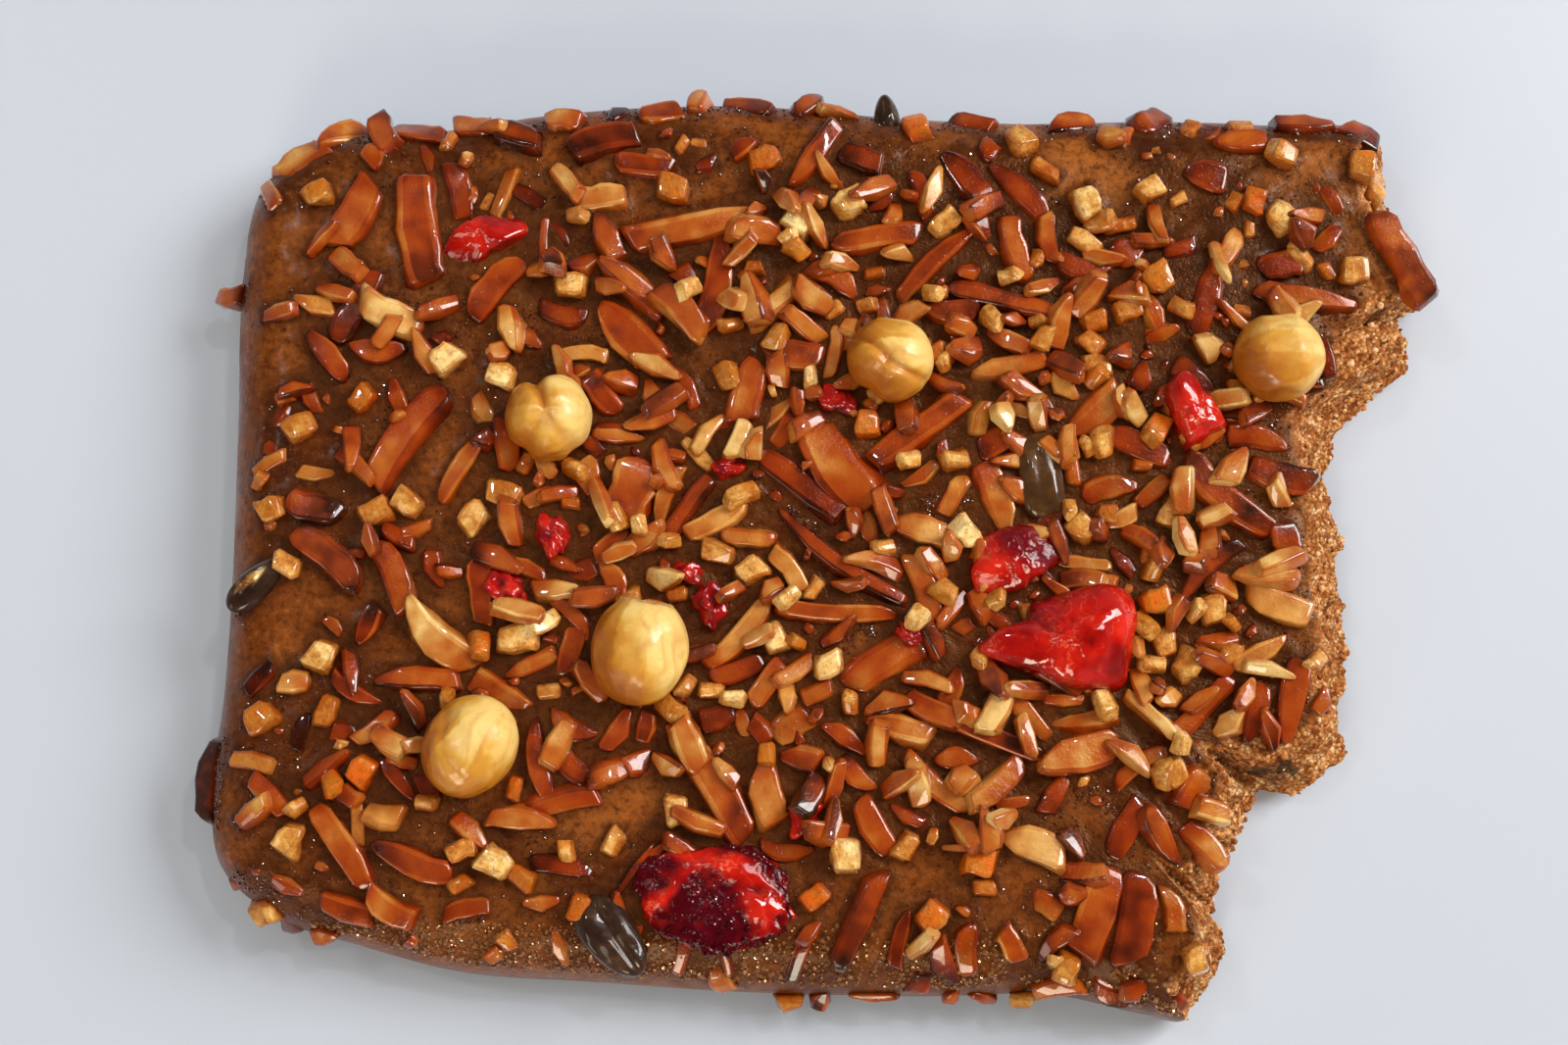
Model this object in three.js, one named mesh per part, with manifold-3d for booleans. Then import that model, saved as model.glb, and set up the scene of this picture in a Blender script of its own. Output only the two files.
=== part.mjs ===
// A slab of gingerbread, glazed and strewn with almond slivers, diced candied peel, hazelnut kernels,
// candied cherries and pumpkin seeds. One side is broken off and shows the crumb.
// Millimetres, +Z up. The slab lies on z = 0, with the middle of its box over the origin.
import * as THREE from "three";
import { mergeVertices } from "three/addons/utils/BufferGeometryUtils.js";
import Module from "manifold-3d";

// Driving dimensions of the dough
const DOUGH_HEIGHT = 15;
const OVERHANG_DROP = 3;
const SHOULDER_INSET = 9; // how far in the baked edge's rounding reaches
const SHOULDER_DROP = 9; // how far down it reaches
const BREAK_LEAN = 6; // the broken face leans back by this much, from its foot to the top
const BREAK_FOOT = 3.5; // height of the broken face's foot
const CRAG = 1.1; // how far the crumb stands in and out of the broken face
const LAYOUT_MIDDLE = [1.3, 2.1]; // middle of the whole part's box, in the coordinates used below

// Fits and draws
const GAP = 0.3; // between a kernel, cherry or seed and the pocket that it has pressed into the top
const SINK = 0.9; // how far a strewn piece sinks into the glaze, or into the pieces under it
const SEED = 20;

// The baked edge, from the far right corner round the left side to the near right corner
const BAKED_EDGE = [
  [80.5, 61], [65, 62.5], [48, 63], [30, 62.7], [12, 63.5], [-5, 65], [-22, 65.2], [-38, 64], [-54, 61.5],
  [-70, 60], [-79, 53], [-81.5, 40], [-81.5, 20], [-81.5, 0], [-82, -18], [-83.3, -33], [-81.5, -43],
  [-73, -50], [-62, -53.5], [-48, -57], [-30, -58.3], [-8, -59.7], [14, -60.2], [32, -60], [44, -62.5], [50, -63.3],
];
// The broken edge, back up the right side, with a bite in its near half and a smaller one above
const BROKEN_EDGE = [
  [56, -54], [54.6, -48.5], [55.6, -45], [56.4, -41.5], [58.5, -38], [59.6, -34.8], [60.5, -32.8], [67.5, -32],
  [72.6, -28], [73.2, -19.5], [74.2, -11], [73.8, -5], [73.2, 0], [73.6, 4], [72.4, 9], [73, 15], [76, 20],
  [79.5, 23.5], [83.5, 27], [85.2, 31], [84, 34.5], [87.6, 38.4], [86, 43], [82.5, 51],
];
const BAKED_STEPS = 2; // rim samples for each stretch between two of those points
const BROKEN_STEPS = 3;

// Kernels, cherries and pumpkin seeds: middle, turn, length, width and height
const HAZELNUTS = [
  { x: -36.5, y: 17.5, turn: 40, size: [12.4, 12.8, 10.5], lobes: 3, crease: 0.13 },
  { x: 10, y: 25.8, turn: -30, size: [12.4, 11.6, 10.5], lobes: 2, crease: 0.06 },
  { x: 63, y: 26.1, turn: 15, size: [13.2, 12.6, 10.5], lobes: 2, crease: 0.03 },
  { x: -23.8, y: -14, turn: 80, size: [15.4, 13.4, 11], lobes: 2, crease: 0.03 },
  { x: -46.3, y: -26.7, turn: 60, size: [14.2, 12.6, 10.5], lobes: 4, crease: 0.02 },
];
const CHERRIES = [
  { x: 27.3, y: -1.6, turn: 24, size: [15, 9.5, 6.5], point: 0.12, fold: 0.16, hollow: 0.1 },
  { x: 32, y: -12.3, turn: 12, size: [22.5, 15.2, 8.5], point: 0.45, fold: 0.06, hollow: 0 },
  { x: -13.8, y: -46.8, turn: -8, size: [22, 14.8, 5.5], point: 0.1, fold: 0.1, hollow: 0.55 },
  { x: 52, y: 18.8, turn: 105, size: [11.5, 9, 7], point: 0.4, fold: 0.12, hollow: 0 },
  { x: -46, y: 43.2, turn: 20, size: [13, 6.5, 4.5], point: 0.25, fold: 0.18, hollow: 0 },
];
const PUMPKIN_SEEDS = [
  { x: 30.4, y: 10.2, turn: 96, size: [12.5, 6.6, 3.6] },
  { x: -27.3, y: -51.8, turn: -52, size: [13.6, 7.6, 3.8] },
  { x: -76, y: -4.4, turn: 43, size: [11.5, 4.8, 3] },
  { x: 10, y: 62, turn: 96, size: [7.5, 4, 3] },
];
const NUT_SINK = 2.2;
const CHERRY_SINK = 1.4;
const SEED_SINK = 0.9;

// The large almond pieces, which give the top its pattern: x, y, turn, length, width
const LARGE_ALMONDS = [
  [-72.5, 55.8, 35, 8, 6], [-67, 59.6, 20, 9, 5], [-56, 59.8, -10, 9, 4], [-42, 58.5, -20, 7.5, 5.5],
  [-64, 47, 62, 11, 5.5], [-55, 45, -82, 16, 7], [-50, 50.5, -75, 9, 4], [-64, 34, 62, 12, 4.5],
  [-58.5, 32.5, -22, 9.5, 5], [-44.5, 36.5, 50, 11, 4.5], [-67.5, 27, -50, 9, 3.5], [-60.5, 27.5, 0, 8, 4],
  [-82.5, 37, -8, 5.5, 3.5], [-83, -31, 84, 12, 4.2], [-29.5, 57.5, 15, 10, 5], [-24, 54, -5, 9, 4],
  [-9.5, 64, -15, 8.5, 3.5], [0, 55.5, 58, 12, 4], [-29.8, 49.2, 5, 7, 4.5], [-29.3, 43.5, -65, 8, 4],
  [-17, 45.5, 15, 20, 5.5], [-8.5, 44.5, 0, 8, 4.5], [-14, 37, 80, 15, 4.5], [-25.5, 36.5, -35, 12, 4.5],
  [-25.5, 30.5, -50, 12, 6.5], [-18.5, 33, -45, 10, 4.5], [-6, 34, 40, 9, 4.5], [-3.5, 27, -5, 9.5, 4.5],
  [8.5, 43.5, 10, 13.5, 4.5], [16.5, 40.5, 45, 16, 4], [21, 53, -55, 9, 5], [29, 50, -47, 13, 4.5],
  [27.5, 42, -75, 10, 4], [26, 35, -15, 17, 3.5], [18, 33, -3, 9, 4], [33.5, 31.5, 80, 8, 3.5],
  [26.5, 25.5, 12, 11, 4.5], [59.5, 57.5, 8, 8, 4], [54.5, 53, -20, 6.5, 5], [53.5, 35, 75, 12, 5],
  [64.5, 40, 10, 7, 4.5], [67.5, 35, -8, 15, 3.5], [81, 41, -62, 15, 5.5], [-56, 15.5, 55, 17, 6],
  [-49, 11, 60, 10.5, 3.5], [-68.5, 6, -15, 8.5, 4.5], [-66.5, -1, -40, 12.5, 4.5], [-57.5, -3.5, -65, 11, 4],
  [-45.7, -5.5, -85, 10, 3.5], [-51, -12, -40, 14, 5.5], [-54, -17.5, 0, 12, 4], [-25.5, 8.5, 75, 9, 6.5],
  [-20.5, 7, 70, 10.5, 3], [-17.5, 6, 55, 10.5, 3.5], [-13.5, 4, 30, 10, 3.5], [-9.5, 22, 75, 9.5, 5.5],
  [3.5, 11.5, -55, 14, 8], [-2.5, 9, -38, 15, 4.5], [14, 16.5, 36, 16, 5], [2.5, -8.5, -3, 17, 3],
  [3, -1.5, -35, 22, 3.5], [14.5, -5.5, -75, 11, 4], [14.5, 3, -20, 9, 4.5], [-10.5, -11.5, 48, 13, 4],
  [9, -15, 32, 13, 6], [24, 7, -75, 11, 5], [38, 19, 40, 10, 6], [44, 14.5, -25, 10, 3.5],
  [55.5, 7, -42, 16, 5.5], [63.5, 10, -15, 10, 4.5], [53, -2.5, 42, 12.5, 3.5], [62.5, -7, -25, 10, 5],
  [64, -20.5, 80, 12, 4], [59, -22, 75, 9, 4], [52, -21.5, 45, 12, 3.5], [45, -22.5, -42, 10, 2.5],
  [-14.5, -31, -56, 19, 6], [-6.7, -32.5, -80, 9.5, 5], [-37.3, -28, -80, 11, 3.5], [-35, -34, 15, 12, 3.5],
  [-54, -41.5, -25, 12, 4.5], [-63.5, -40, -55, 14, 4], [-57, -48, -30, 8, 4], [7.5, -37, -60, 8.5, 4],
  [5.3, -49.5, 65, 15, 4.5], [11, -24, -20, 9.5, 4.5], [16, -31.5, -40, 12, 3.5], [24, -25.5, -22, 14, 3],
  [35, -27.5, 12, 12, 5.5], [24, -31.5, 38, 10, 4], [41, -37.5, 60, 9, 4], [45.7, -38.5, -60, 9, 4],
  [29, -39.5, -25, 9.5, 5], [37, -48.5, 72, 13, 5.5], [42.3, -49.5, 80, 13, 6], [20, -53.5, 90, 7.5, 4],
  [-60.8, 59.5, -65, 7, 4], [-48.5, 60.5, -5, 6.5, 4], [-35.5, 61, 0, 6, 4], [-22, 62.5, 10, 6.5, 4.5],
  [-16.5, 64.5, 70, 5, 4], [-1, 64, 40, 6, 3.5], [22, 61.5, -15, 7, 4], [36, 61.5, 8, 8, 4.5], [47.5, 61.5, 30, 6.5, 5],
  [69, 60.5, -5, 9, 4], [76.5, 59.5, -25, 7, 4.5], [32, -58.5, 10, 7, 4], [39.5, -59.3, -20, 6, 4], [47, -60.5, -30, 6, 4.5],
];
const ALMOND_HEIGHTS = [2.2, 3.2]; // of a piece lying on its side

// Large dice of candied peel, and scraps of candied cherry: x, y
const LARGE_DICE = [
  [-51, 26.5], [-43.5, 24.3], [-2.7, 45.5], [4.7, 48.5], [14, 60], [28.5, 58], [37.5, 48.5], [46.5, 50.5],
  [65, 55.5], [76, 54], [60.8, 49], [64.5, 46.5], [74.5, 39], [-62.5, 21], [-60, 5], [-56, 6.5],
  [7, 17.5], [20.3, 2], [-5.8, -12], [1.5, -15.5], [-61, -30], [-43, -42], [-0.5, -46.5], [3.7, -41],
  [15, -49], [21.5, -41.7], [50, -54.7], [53.5, -8], [45.8, -7], [47, -12.5], [50, -15.5], [-75, -23],
  [-67, -14.5], [-70.5, -39], [-34, 37], [36, 3], [-69.5, 50], [33, -56], [-20, 50.5], [48, -30],
];
const DICE_SIZES = [3.8, 4.8];
const CHERRY_SCRAPS = [
  [-36, 2], [-17.5, -3], [-14.5, -7.5], [-12, 11.5], [-42, -5.5], [2.5, 21], [-1.5, -36], [12.5, -11.5],
];
const SCRAP_SIZES = [3.6, 5.6];

// The smaller almond pieces and dice that lie between them: x, y, turn, length, width
const SMALL_ALMONDS = [
  [-31.2, 10.6, 60, 4.8, 4], [-29.4, 21.6, -55, 7.3, 4.3], [-32.5, 27.3, 0, 8, 2.7],
  [-35.2, 32.8, -15, 7.3, 3.7], [-28.1, 1, 35, 6.1, 3.3], [-27.8, -4, -75, 6.1, 3.7],
  [-1.6, 31, -35, 7.5, 2.9], [2.6, 27.4, 80, 8, 2.4], [-4.5, 16.6, 60, 5.6, 3.5], [-18.2, 22.7, -60, 7.5, 2.9],
  [-9.4, 1.7, -5, 8, 3.3], [-3.8, -2.6, -55, 7.5, 3.2], [7.9, -1.7, -15, 8.8, 2.9], [7.2, 3, -80, 5.3, 3.5],
  [24.2, 14.9, 30, 5.6, 3.7], [26.2, 29, -20, 6.7, 2.9], [18.8, 7.5, 60, 6.7, 2.9], [-23.2, 1.4, 30, 6.7, 4],
  [39.9, 8.8, 15, 8, 4.3], [36.6, -1.7, -8, 7.5, 2.4], [51.9, 23.2, -45, 8, 4], [60.4, 15.1, -10, 8.8, 4.5],
  [63.9, 1.4, -70, 5.3, 4], [60.8, -3.6, -5, 9.3, 3.7], [-60.8, -10.3, 60, 6.1, 3.2],
  [-62.5, -19.2, -35, 8, 3.2], [-59.4, -24.2, 35, 7.2, 2.9], [-56.5, -30.9, -50, 8, 2.7],
  [-33.4, -13.8, 75, 7.5, 3.5], [-32.9, -9, -45, 8, 2.9], [-38.8, -15.4, 25, 8, 2.7],
  [-42.9, -19.7, -30, 9.1, 4.8], [-33.2, -24.2, -30, 7.5, 4.3], [-33.2, -29.3, -50, 6.1, 4.3],
  [-28.1, -29.9, 20, 6.1, 4], [-39.6, -36.3, -5, 9.6, 3.3], [-34.2, -42.3, -8, 8.8, 2.9],
  [-10.8, -16.5, 20, 8, 2.9], [-6.8, -18.1, 55, 7.5, 3.7], [-17.2, -26.4, -65, 7.5, 4.5],
  [-3.8, -23.5, 30, 6.1, 5.1], [3.8, -25.2, -35, 7.5, 3.7], [5.2, -30.5, -45, 6.4, 3.2],
  [-0.9, -32.9, 65, 6.9, 3.7], [-4.1, -40.7, -5, 7.7, 3.2], [18.2, -18.8, 60, 6.1, 4],
  [15.5, -21.7, -25, 8.8, 3.7], [18.6, -28.2, 0, 6.1, 3.7], [21.2, -22.5, -20, 6.1, 3.3],
  [27.9, -21.9, -55, 9.9, 3.3], [35.9, -23.2, 10, 9.3, 3.5], [43.1, -29.1, 35, 8.8, 2.9],
  [50.2, -32.2, 60, 6.1, 4.3], [52.8, -35.2, -15, 5.3, 3.7], [51.5, -40, -45, 8.3, 4.3],
  [35.5, -43.4, 0, 6.1, 4], [59.9, -14.3, 25, 8.8, 4], [-34.8, 51.6, -50, 6.7, 2.9],
  [-64.9, 40, -40, 6.1, 3.2], [6.2, 55.2, -20, 6.7, 4.3], [14.6, 49.9, -75, 7.7, 3.2],
  [3.2, 37.5, -30, 6.1, 3.7], [43.1, 41.8, 40, 4.8, 4.3], [36.8, 39.1, -15, 8, 3.7],
  [50.6, 42.2, 20, 5.3, 3.7], [56.8, 41.8, 60, 7.5, 3.3], [-46.8, -48.1, 10, 6.7, 3.2],
  [-13.4, -57.5, -50, 5.1, 3.7], [11.1, -52, 75, 8.3, 2.9], [25.8, -52.8, -60, 5.6, 3.5],
  [31.5, -52.4, 38, 6.9, 2.9], [30.4, -47.4, -30, 5.1, 3.7], [47.2, -48, -80, 6.7, 4],
  [13.8, -57.8, 60, 4.5, 4],
];
const SMALL_HEIGHTS = [1.8, 2.6];
const SMALL_DICE = [
  [-70.9, 16.9, 30, 4.5, 4], [-74.5, 5.7, 20, 4, 3.7], [-46.8, 4.4, 50, 4.5, 3.7], [-42.8, 7.7, -20, 5.1, 3.7],
  [-16.2, 13.3, -45, 6.1, 2.4], [-10.2, 7.5, 25, 5.3, 2.7], [-13.6, -0.3, -20, 4.8, 3.3],
  [-8.9, -2.9, 30, 4.3, 3.7], [43.1, 33.4, 20, 4.5, 3.5], [38.6, 25.6, -10, 4.5, 3.2],
  [46.4, 16.6, 60, 4.5, 3.5], [48.4, 5.2, 60, 4.8, 3.5], [-66.1, -21.9, 70, 4.5, 3.2],
  [-40.5, -12, 10, 5.9, 4.3], [-36.8, -10, 30, 5.1, 2.9], [-47.6, -40.3, 20, 4.5, 3.2],
  [-7.2, 54.8, 20, 4.8, 3.5], [17.9, 45.8, 40, 4.8, 3.5], [37.2, 43.1, -35, 5.1, 2.9],
  [47.1, 37.8, 30, 4.5, 4.3], [78.4, 51.5, 80, 5.1, 3.7], [-74.9, -48.7, 10, 4.3, 4],
];

// Finishes
const FINISHES = {
  dough: { color: 0x7a4420, roughness: 0.45 },
  hazelnut: { color: 0xdfae62, roughness: 0.3 },
  cherry: { color: 0xb81f16, roughness: 0.15 },
  seed: { color: 0x4a3320, roughness: 0.3 },
};

const wasm = await Module();
wasm.setup();

const lerp = THREE.MathUtils.lerp;
const clamp = THREE.MathUtils.clamp;

// A repeatable draw from 0 to 1, by a linear congruential rule on 32 bits
function seededDraw(seed) {
  let state = seed;
  return () => {
    state = (Math.imul(state, 1664525) + 1013904223) >>> 0;
    return state / 2 ** 32;
  };
}

// The rim: points round the slab, each with its direction from the middle and how far it is broken
const rimCurve = new THREE.CatmullRomCurve3(
  [...BAKED_EDGE, ...BROKEN_EDGE].map(([x, y]) => new THREE.Vector3(x, y, 0)),
  true,
  "centripetal",
);

function rimSamples() {
  const stretches = BAKED_EDGE.length + BROKEN_EDGE.length;
  const samples = [];
  for (let i = 0; i < stretches; i++) {
    const broken = i >= BAKED_EDGE.length - 1;
    const steps = broken ? BROKEN_STEPS : BAKED_STEPS;
    for (let k = 0; k < steps; k++) {
      const t = (i + k / steps) / stretches;
      const point = rimCurve.getPoint(t);
      const along = rimCurve.getTangent(t);
      const radius = Math.hypot(point.x, point.y);
      const outward = (along.y * point.x - along.x * point.y) / radius;
      samples.push({
        radius,
        angle: Math.atan2(point.y, point.x),
        slant: Math.max(outward, 0.45), // cosine between the ray from the middle and the rim's normal
        broken: broken ? 1 : 0,
      });
    }
  }
  return samples;
}
const RIM = rimSamples();
const RIM_BY_ANGLE = [...RIM].sort((a, b) => a.angle - b.angle);

// The rim's radius, slant and brokenness in the direction of a point
function rimToward(x, y) {
  const angle = Math.atan2(y, x);
  const found = RIM_BY_ANGLE.findIndex((sample) => sample.angle > angle);
  const next = RIM_BY_ANGLE[Math.max(found, 0)];
  const last = RIM_BY_ANGLE[found > 0 ? found - 1 : RIM_BY_ANGLE.length - 1];
  const turn = 2 * Math.PI;
  const share = ((angle - last.angle + turn) % turn) / ((next.angle - last.angle + turn) % turn);
  return {
    radius: lerp(last.radius, next.radius, share),
    slant: lerp(last.slant, next.slant, share),
    broken: lerp(last.broken, next.broken, share),
  };
}

// Distance in from the rim, measured square to it
function insetAt(x, y) {
  const rim = rimToward(x, y);
  return (rim.radius - Math.hypot(x, y)) * rim.slant;
}

// Height of the dough at a distance in from the rim: a quarter ellipse at a baked edge, a lean face at a break
function edgeHeight(inset, broken) {
  const out = 1 - clamp(inset / SHOULDER_INSET, 0, 1);
  const baked = DOUGH_HEIGHT - SHOULDER_DROP * (1 - Math.sqrt(1 - out * out));
  const face = lerp(BREAK_FOOT, DOUGH_HEIGHT, clamp(inset / BREAK_LEAN, 0, 1));
  return lerp(baked, face, broken);
}

function doughHeight(x, y) {
  const rim = rimToward(x, y);
  const inset = (rim.radius - Math.hypot(x, y)) * rim.slant;
  return edgeHeight(inset, rim.broken);
}

// A closed skin of rings, each a list of points round the slab, between a lower and an upper middle point
function ringedSkin(rings, lowest, highest) {
  const around = rings[0].length;
  const points = [lowest, ...rings.flat(), highest];
  const triangles = [];
  const at = (ring, k) => 1 + ring * around + (k % around);
  for (let k = 0; k < around; k++) {
    triangles.push(0, at(0, k + 1), at(0, k));
    for (let ring = 0; ring + 1 < rings.length; ring++) {
      triangles.push(at(ring, k), at(ring, k + 1), at(ring + 1, k));
      triangles.push(at(ring, k + 1), at(ring + 1, k + 1), at(ring + 1, k));
    }
    triangles.push(at(rings.length - 1, k), at(rings.length - 1, k + 1), points.length - 1);
  }
  const geometry = new THREE.BufferGeometry();
  geometry.setAttribute("position", new THREE.Float32BufferAttribute(points.flat(), 3));
  geometry.setIndex(triangles);
  return geometry;
}

// The dough: a flat base, a low side, rings over the shoulder or up the broken face, and a flat top
function doughGeometry() {
  const draw = seededDraw(SEED);
  const baseInset = 1.6;
  const lowSide = { inset: 0.4, height: 2 };
  const topInsets = [0, 0.5, 1.8, 4, 6.5, SHOULDER_INSET];
  const pointAt = (sample, inset, height) => {
    const r = sample.radius - inset / sample.slant;
    return [r * Math.cos(sample.angle), r * Math.sin(sample.angle), height];
  };
  const crag = (sample) => sample.broken * CRAG * (2 * draw() - 1);
  const rings = [
    RIM.map((sample) => pointAt(sample, baseInset, 0)),
    RIM.map((sample) => pointAt(sample, lowSide.inset + crag(sample), lowSide.height)),
    ...topInsets.map((inset) =>
      RIM.map((sample) => {
        const height = edgeHeight(inset, sample.broken);
        const rough = inset < SHOULDER_INSET ? crag(sample) : 0;
        return pointAt(sample, inset + rough, height + 0.5 * rough);
      }),
    ),
  ];
  return ringedSkin(rings, [0, 0, 0], [0, 0, DOUGH_HEIGHT]);
}

// A closed geometry as a solid that can be joined and cut, and back again
function solidOf(geometry) {
  const bare = geometry.clone();
  bare.deleteAttribute("normal");
  bare.deleteAttribute("uv");
  const merged = mergeVertices(bare, 1e-4);
  return new wasm.Manifold(
    new wasm.Mesh({
      numProp: 3,
      vertProperties: merged.attributes.position.array,
      triVerts: new Uint32Array(merged.index.array),
    }),
  );
}

function geometryOf(solid) {
  const mesh = solid.getMesh();
  const geometry = new THREE.BufferGeometry();
  geometry.setAttribute("position", new THREE.Float32BufferAttribute(mesh.vertProperties, 3));
  geometry.setIndex(Array.from(mesh.triVerts));
  geometry.computeVertexNormals();
  return geometry;
}

// Where a piece comes to rest: on the dough or on the pieces already there, leaning as they make it lean.
// A piece whose middle is on the top lies level out over a broken edge
function settle(piece, placed) {
  const cos = Math.cos(piece.turn);
  const sin = Math.sin(piece.turn);
  const isOnTop = doughHeight(piece.x, piece.y) > DOUGH_HEIGHT - OVERHANG_DROP;
  const groundAt = (x, y) => {
    if (insetAt(x, y) < 0) return -Infinity;
    return isOnTop && rimToward(x, y).broken > 0.5 ? DOUGH_HEIGHT : doughHeight(x, y);
  };
  const support = (along, across) => {
    const x = piece.x + along * cos - across * sin;
    const y = piece.y + along * sin + across * cos;
    return Math.max(groundAt(x, y), ...placed.map((other) => topAt(other, x, y)));
  };
  const middle = Math.max(support(0, 0), doughHeight(piece.x, piece.y));
  const held = (height) => (Number.isFinite(height) ? height : middle);
  const reach = 0.4 * piece.length;
  const side = 0.4 * piece.width;
  const [back, front] = [held(support(-reach, 0)), held(support(reach, 0))];
  const [right, left] = [held(support(0, -side)), held(support(0, side))];
  piece.pitch = clamp(Math.atan2(front - back, 2 * reach), -0.6, 0.6);
  piece.roll = clamp(0.6 * Math.atan2(left - right, 2 * side), -0.6, 0.6);
  piece.z = Math.max(middle - 0.6, (back + front) / 2) - SINK + piece.height / 2;
  return piece;
}

// The top of a placed piece at a point, or nothing where the piece isn't
function topAt(piece, x, y) {
  const dx = x - piece.x;
  const dy = y - piece.y;
  const along = dx * Math.cos(piece.turn) + dy * Math.sin(piece.turn);
  const across = dy * Math.cos(piece.turn) - dx * Math.sin(piece.turn);
  if (Math.abs(along) > piece.length / 2 || Math.abs(across) > piece.width / 2) return -Infinity;
  return piece.z + piece.height / 2 + along * Math.tan(piece.pitch);
}

// All pieces of almond, peel and cherry where they lie: the large ones first, then the smaller ones on and between them
function strewnPieces() {
  const draw = seededDraw(SEED);
  const placed = [];
  for (const [x, y, degrees, length, width] of LARGE_ALMONDS) {
    const height = lerp(...ALMOND_HEIGHTS, draw());
    const turn = THREE.MathUtils.degToRad(degrees);
    placed.push(settle({ kind: "sliver", x, y, turn, length, width, height, form: draw() }, placed));
  }
  const lumps = [...LARGE_DICE.map((at) => [at, DICE_SIZES]), ...CHERRY_SCRAPS.map((at) => [at, SCRAP_SIZES])];
  for (const [[x, y], sizes] of lumps) {
    const length = lerp(...sizes, draw());
    const turn = draw() * Math.PI;
    const form = draw();
    const lump = { kind: "dice", x, y, turn, length, width: 0.9 * length, height: 0.85 * length, form };
    placed.push(settle(lump, placed));
  }
  for (const [x, y, degrees, length, width] of SMALL_ALMONDS) {
    const height = lerp(...SMALL_HEIGHTS, draw());
    const turn = THREE.MathUtils.degToRad(degrees);
    placed.push(settle({ kind: "sliver", x, y, turn, length, width, height, form: draw() }, placed));
  }
  for (const [x, y, degrees, length, width] of SMALL_DICE) {
    const turn = THREE.MathUtils.degToRad(degrees);
    placed.push(settle({ kind: "dice", x, y, turn, length, width, height: 0.9 * width, form: draw() }, placed));
  }
  return placed;
}

// An almond piece: a stick that narrows to one end; a dice of peel: a skewed block
function pieceGeometry({ kind, length, width, height, form }) {
  const geometry = new THREE.BoxGeometry(length, width, height);
  const position = geometry.attributes.position;
  for (let i = 0; i < position.count; i++) {
    const end = position.getX(i) > 0 ? form : 1 - form;
    const taper = kind === "sliver" ? 1 - 0.5 * end : 1;
    const skew = kind === "dice" ? 0.2 * position.getZ(i) * (2 * form - 1) : 0;
    position.setXYZ(i, position.getX(i) + skew, position.getY(i) * taper, position.getZ(i) * taper);
  }
  return geometry;
}

function placedGeometry(piece) {
  const turned = new THREE.Euler(piece.roll, -piece.pitch, piece.turn, "ZYX");
  const matrix = new THREE.Matrix4().makeRotationFromEuler(turned).setPosition(piece.x, piece.y, piece.z);
  return pieceGeometry(piece).applyMatrix4(matrix);
}

// A hazelnut kernel: a globe with a low point on top, creased between its lobes
function hazelnutForm({ lobes, crease }) {
  return (direction) => {
    const around = Math.atan2(direction.y, direction.x);
    const level = Math.sqrt(1 - Math.min(1, direction.z ** 2));
    const groove = crease * level * (1 - Math.abs(Math.sin((lobes * around) / 2)));
    const tip = 0.06 * Math.max(direction.z, 0) ** 6;
    return direction.clone().multiplyScalar(1 - groove + tip);
  };
}

// A candied cherry: drawn out to a point at one end, folded along its skin, and fallen in where hollow
function cherryForm({ point, fold, hollow }) {
  return (direction) => {
    const back = clamp(-direction.x, 0, 1);
    const narrow = 1 - point * back;
    const folded = 1 + fold * Math.sin(5 * direction.x + 3 * direction.y) * direction.z;
    const middle = 1 - Math.hypot(direction.x, direction.y);
    const fallen = direction.z > 0 ? 1 - hollow * middle : 1;
    return new THREE.Vector3(direction.x, direction.y * narrow * folded, direction.z * fallen * narrow);
  };
}

// A pumpkin seed: a flat oval that narrows to one end
function pumpkinSeedForm() {
  return (direction) => {
    const narrow = 1 - 0.22 * direction.x;
    return new THREE.Vector3(direction.x, direction.y * narrow, direction.z);
  };
}

// A rounded piece pressed into the dough, at its place; grown to cut the pocket that it sits in
function roundedGeometry(large, form, sink, facets, grown = 0) {
  const geometry = new THREE.SphereGeometry(1, ...facets);
  geometry.rotateX(Math.PI / 2);
  const position = geometry.attributes.position;
  const half = large.size.map((size) => size / 2 + grown);
  const point = new THREE.Vector3();
  for (let i = 0; i < position.count; i++) {
    const shaped = form(point.fromBufferAttribute(position, i).normalize());
    position.setXYZ(i, shaped.x * half[0], shaped.y * half[1], shaped.z * half[2]);
  }
  geometry.rotateZ(THREE.MathUtils.degToRad(large.turn));
  const height = doughHeight(large.x, large.y) - sink + large.size[2] / 2;
  return geometry.translate(large.x, large.y, height);
}

function material(finish) {
  return new THREE.MeshStandardMaterial({ ...FINISHES[finish], metalness: 0 });
}

// The kernels, cherries and seeds as named pieces
const LARGE_KINDS = [
  { name: "hazelnut", list: HAZELNUTS, form: hazelnutForm, sink: NUT_SINK, facets: [12, 8], finish: "hazelnut" },
  { name: "cherry", list: CHERRIES, form: cherryForm, sink: CHERRY_SINK, facets: [14, 8], finish: "cherry" },
  { name: "pumpkin_seed", list: PUMPKIN_SEEDS, form: pumpkinSeedForm, sink: SEED_SINK, facets: [10, 5], finish: "seed" },
];

const slab = new THREE.Group();
const pockets = [];
for (const { name, list, form, sink, facets, finish } of LARGE_KINDS) {
  list.forEach((large, index) => {
    const mesh = new THREE.Mesh(roundedGeometry(large, form(large), sink, facets), material(finish));
    mesh.name = `${name}_${index + 1}`;
    slab.add(mesh);
    pockets.push(solidOf(roundedGeometry(large, form(large), sink, facets, GAP)));
  });
}

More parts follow.
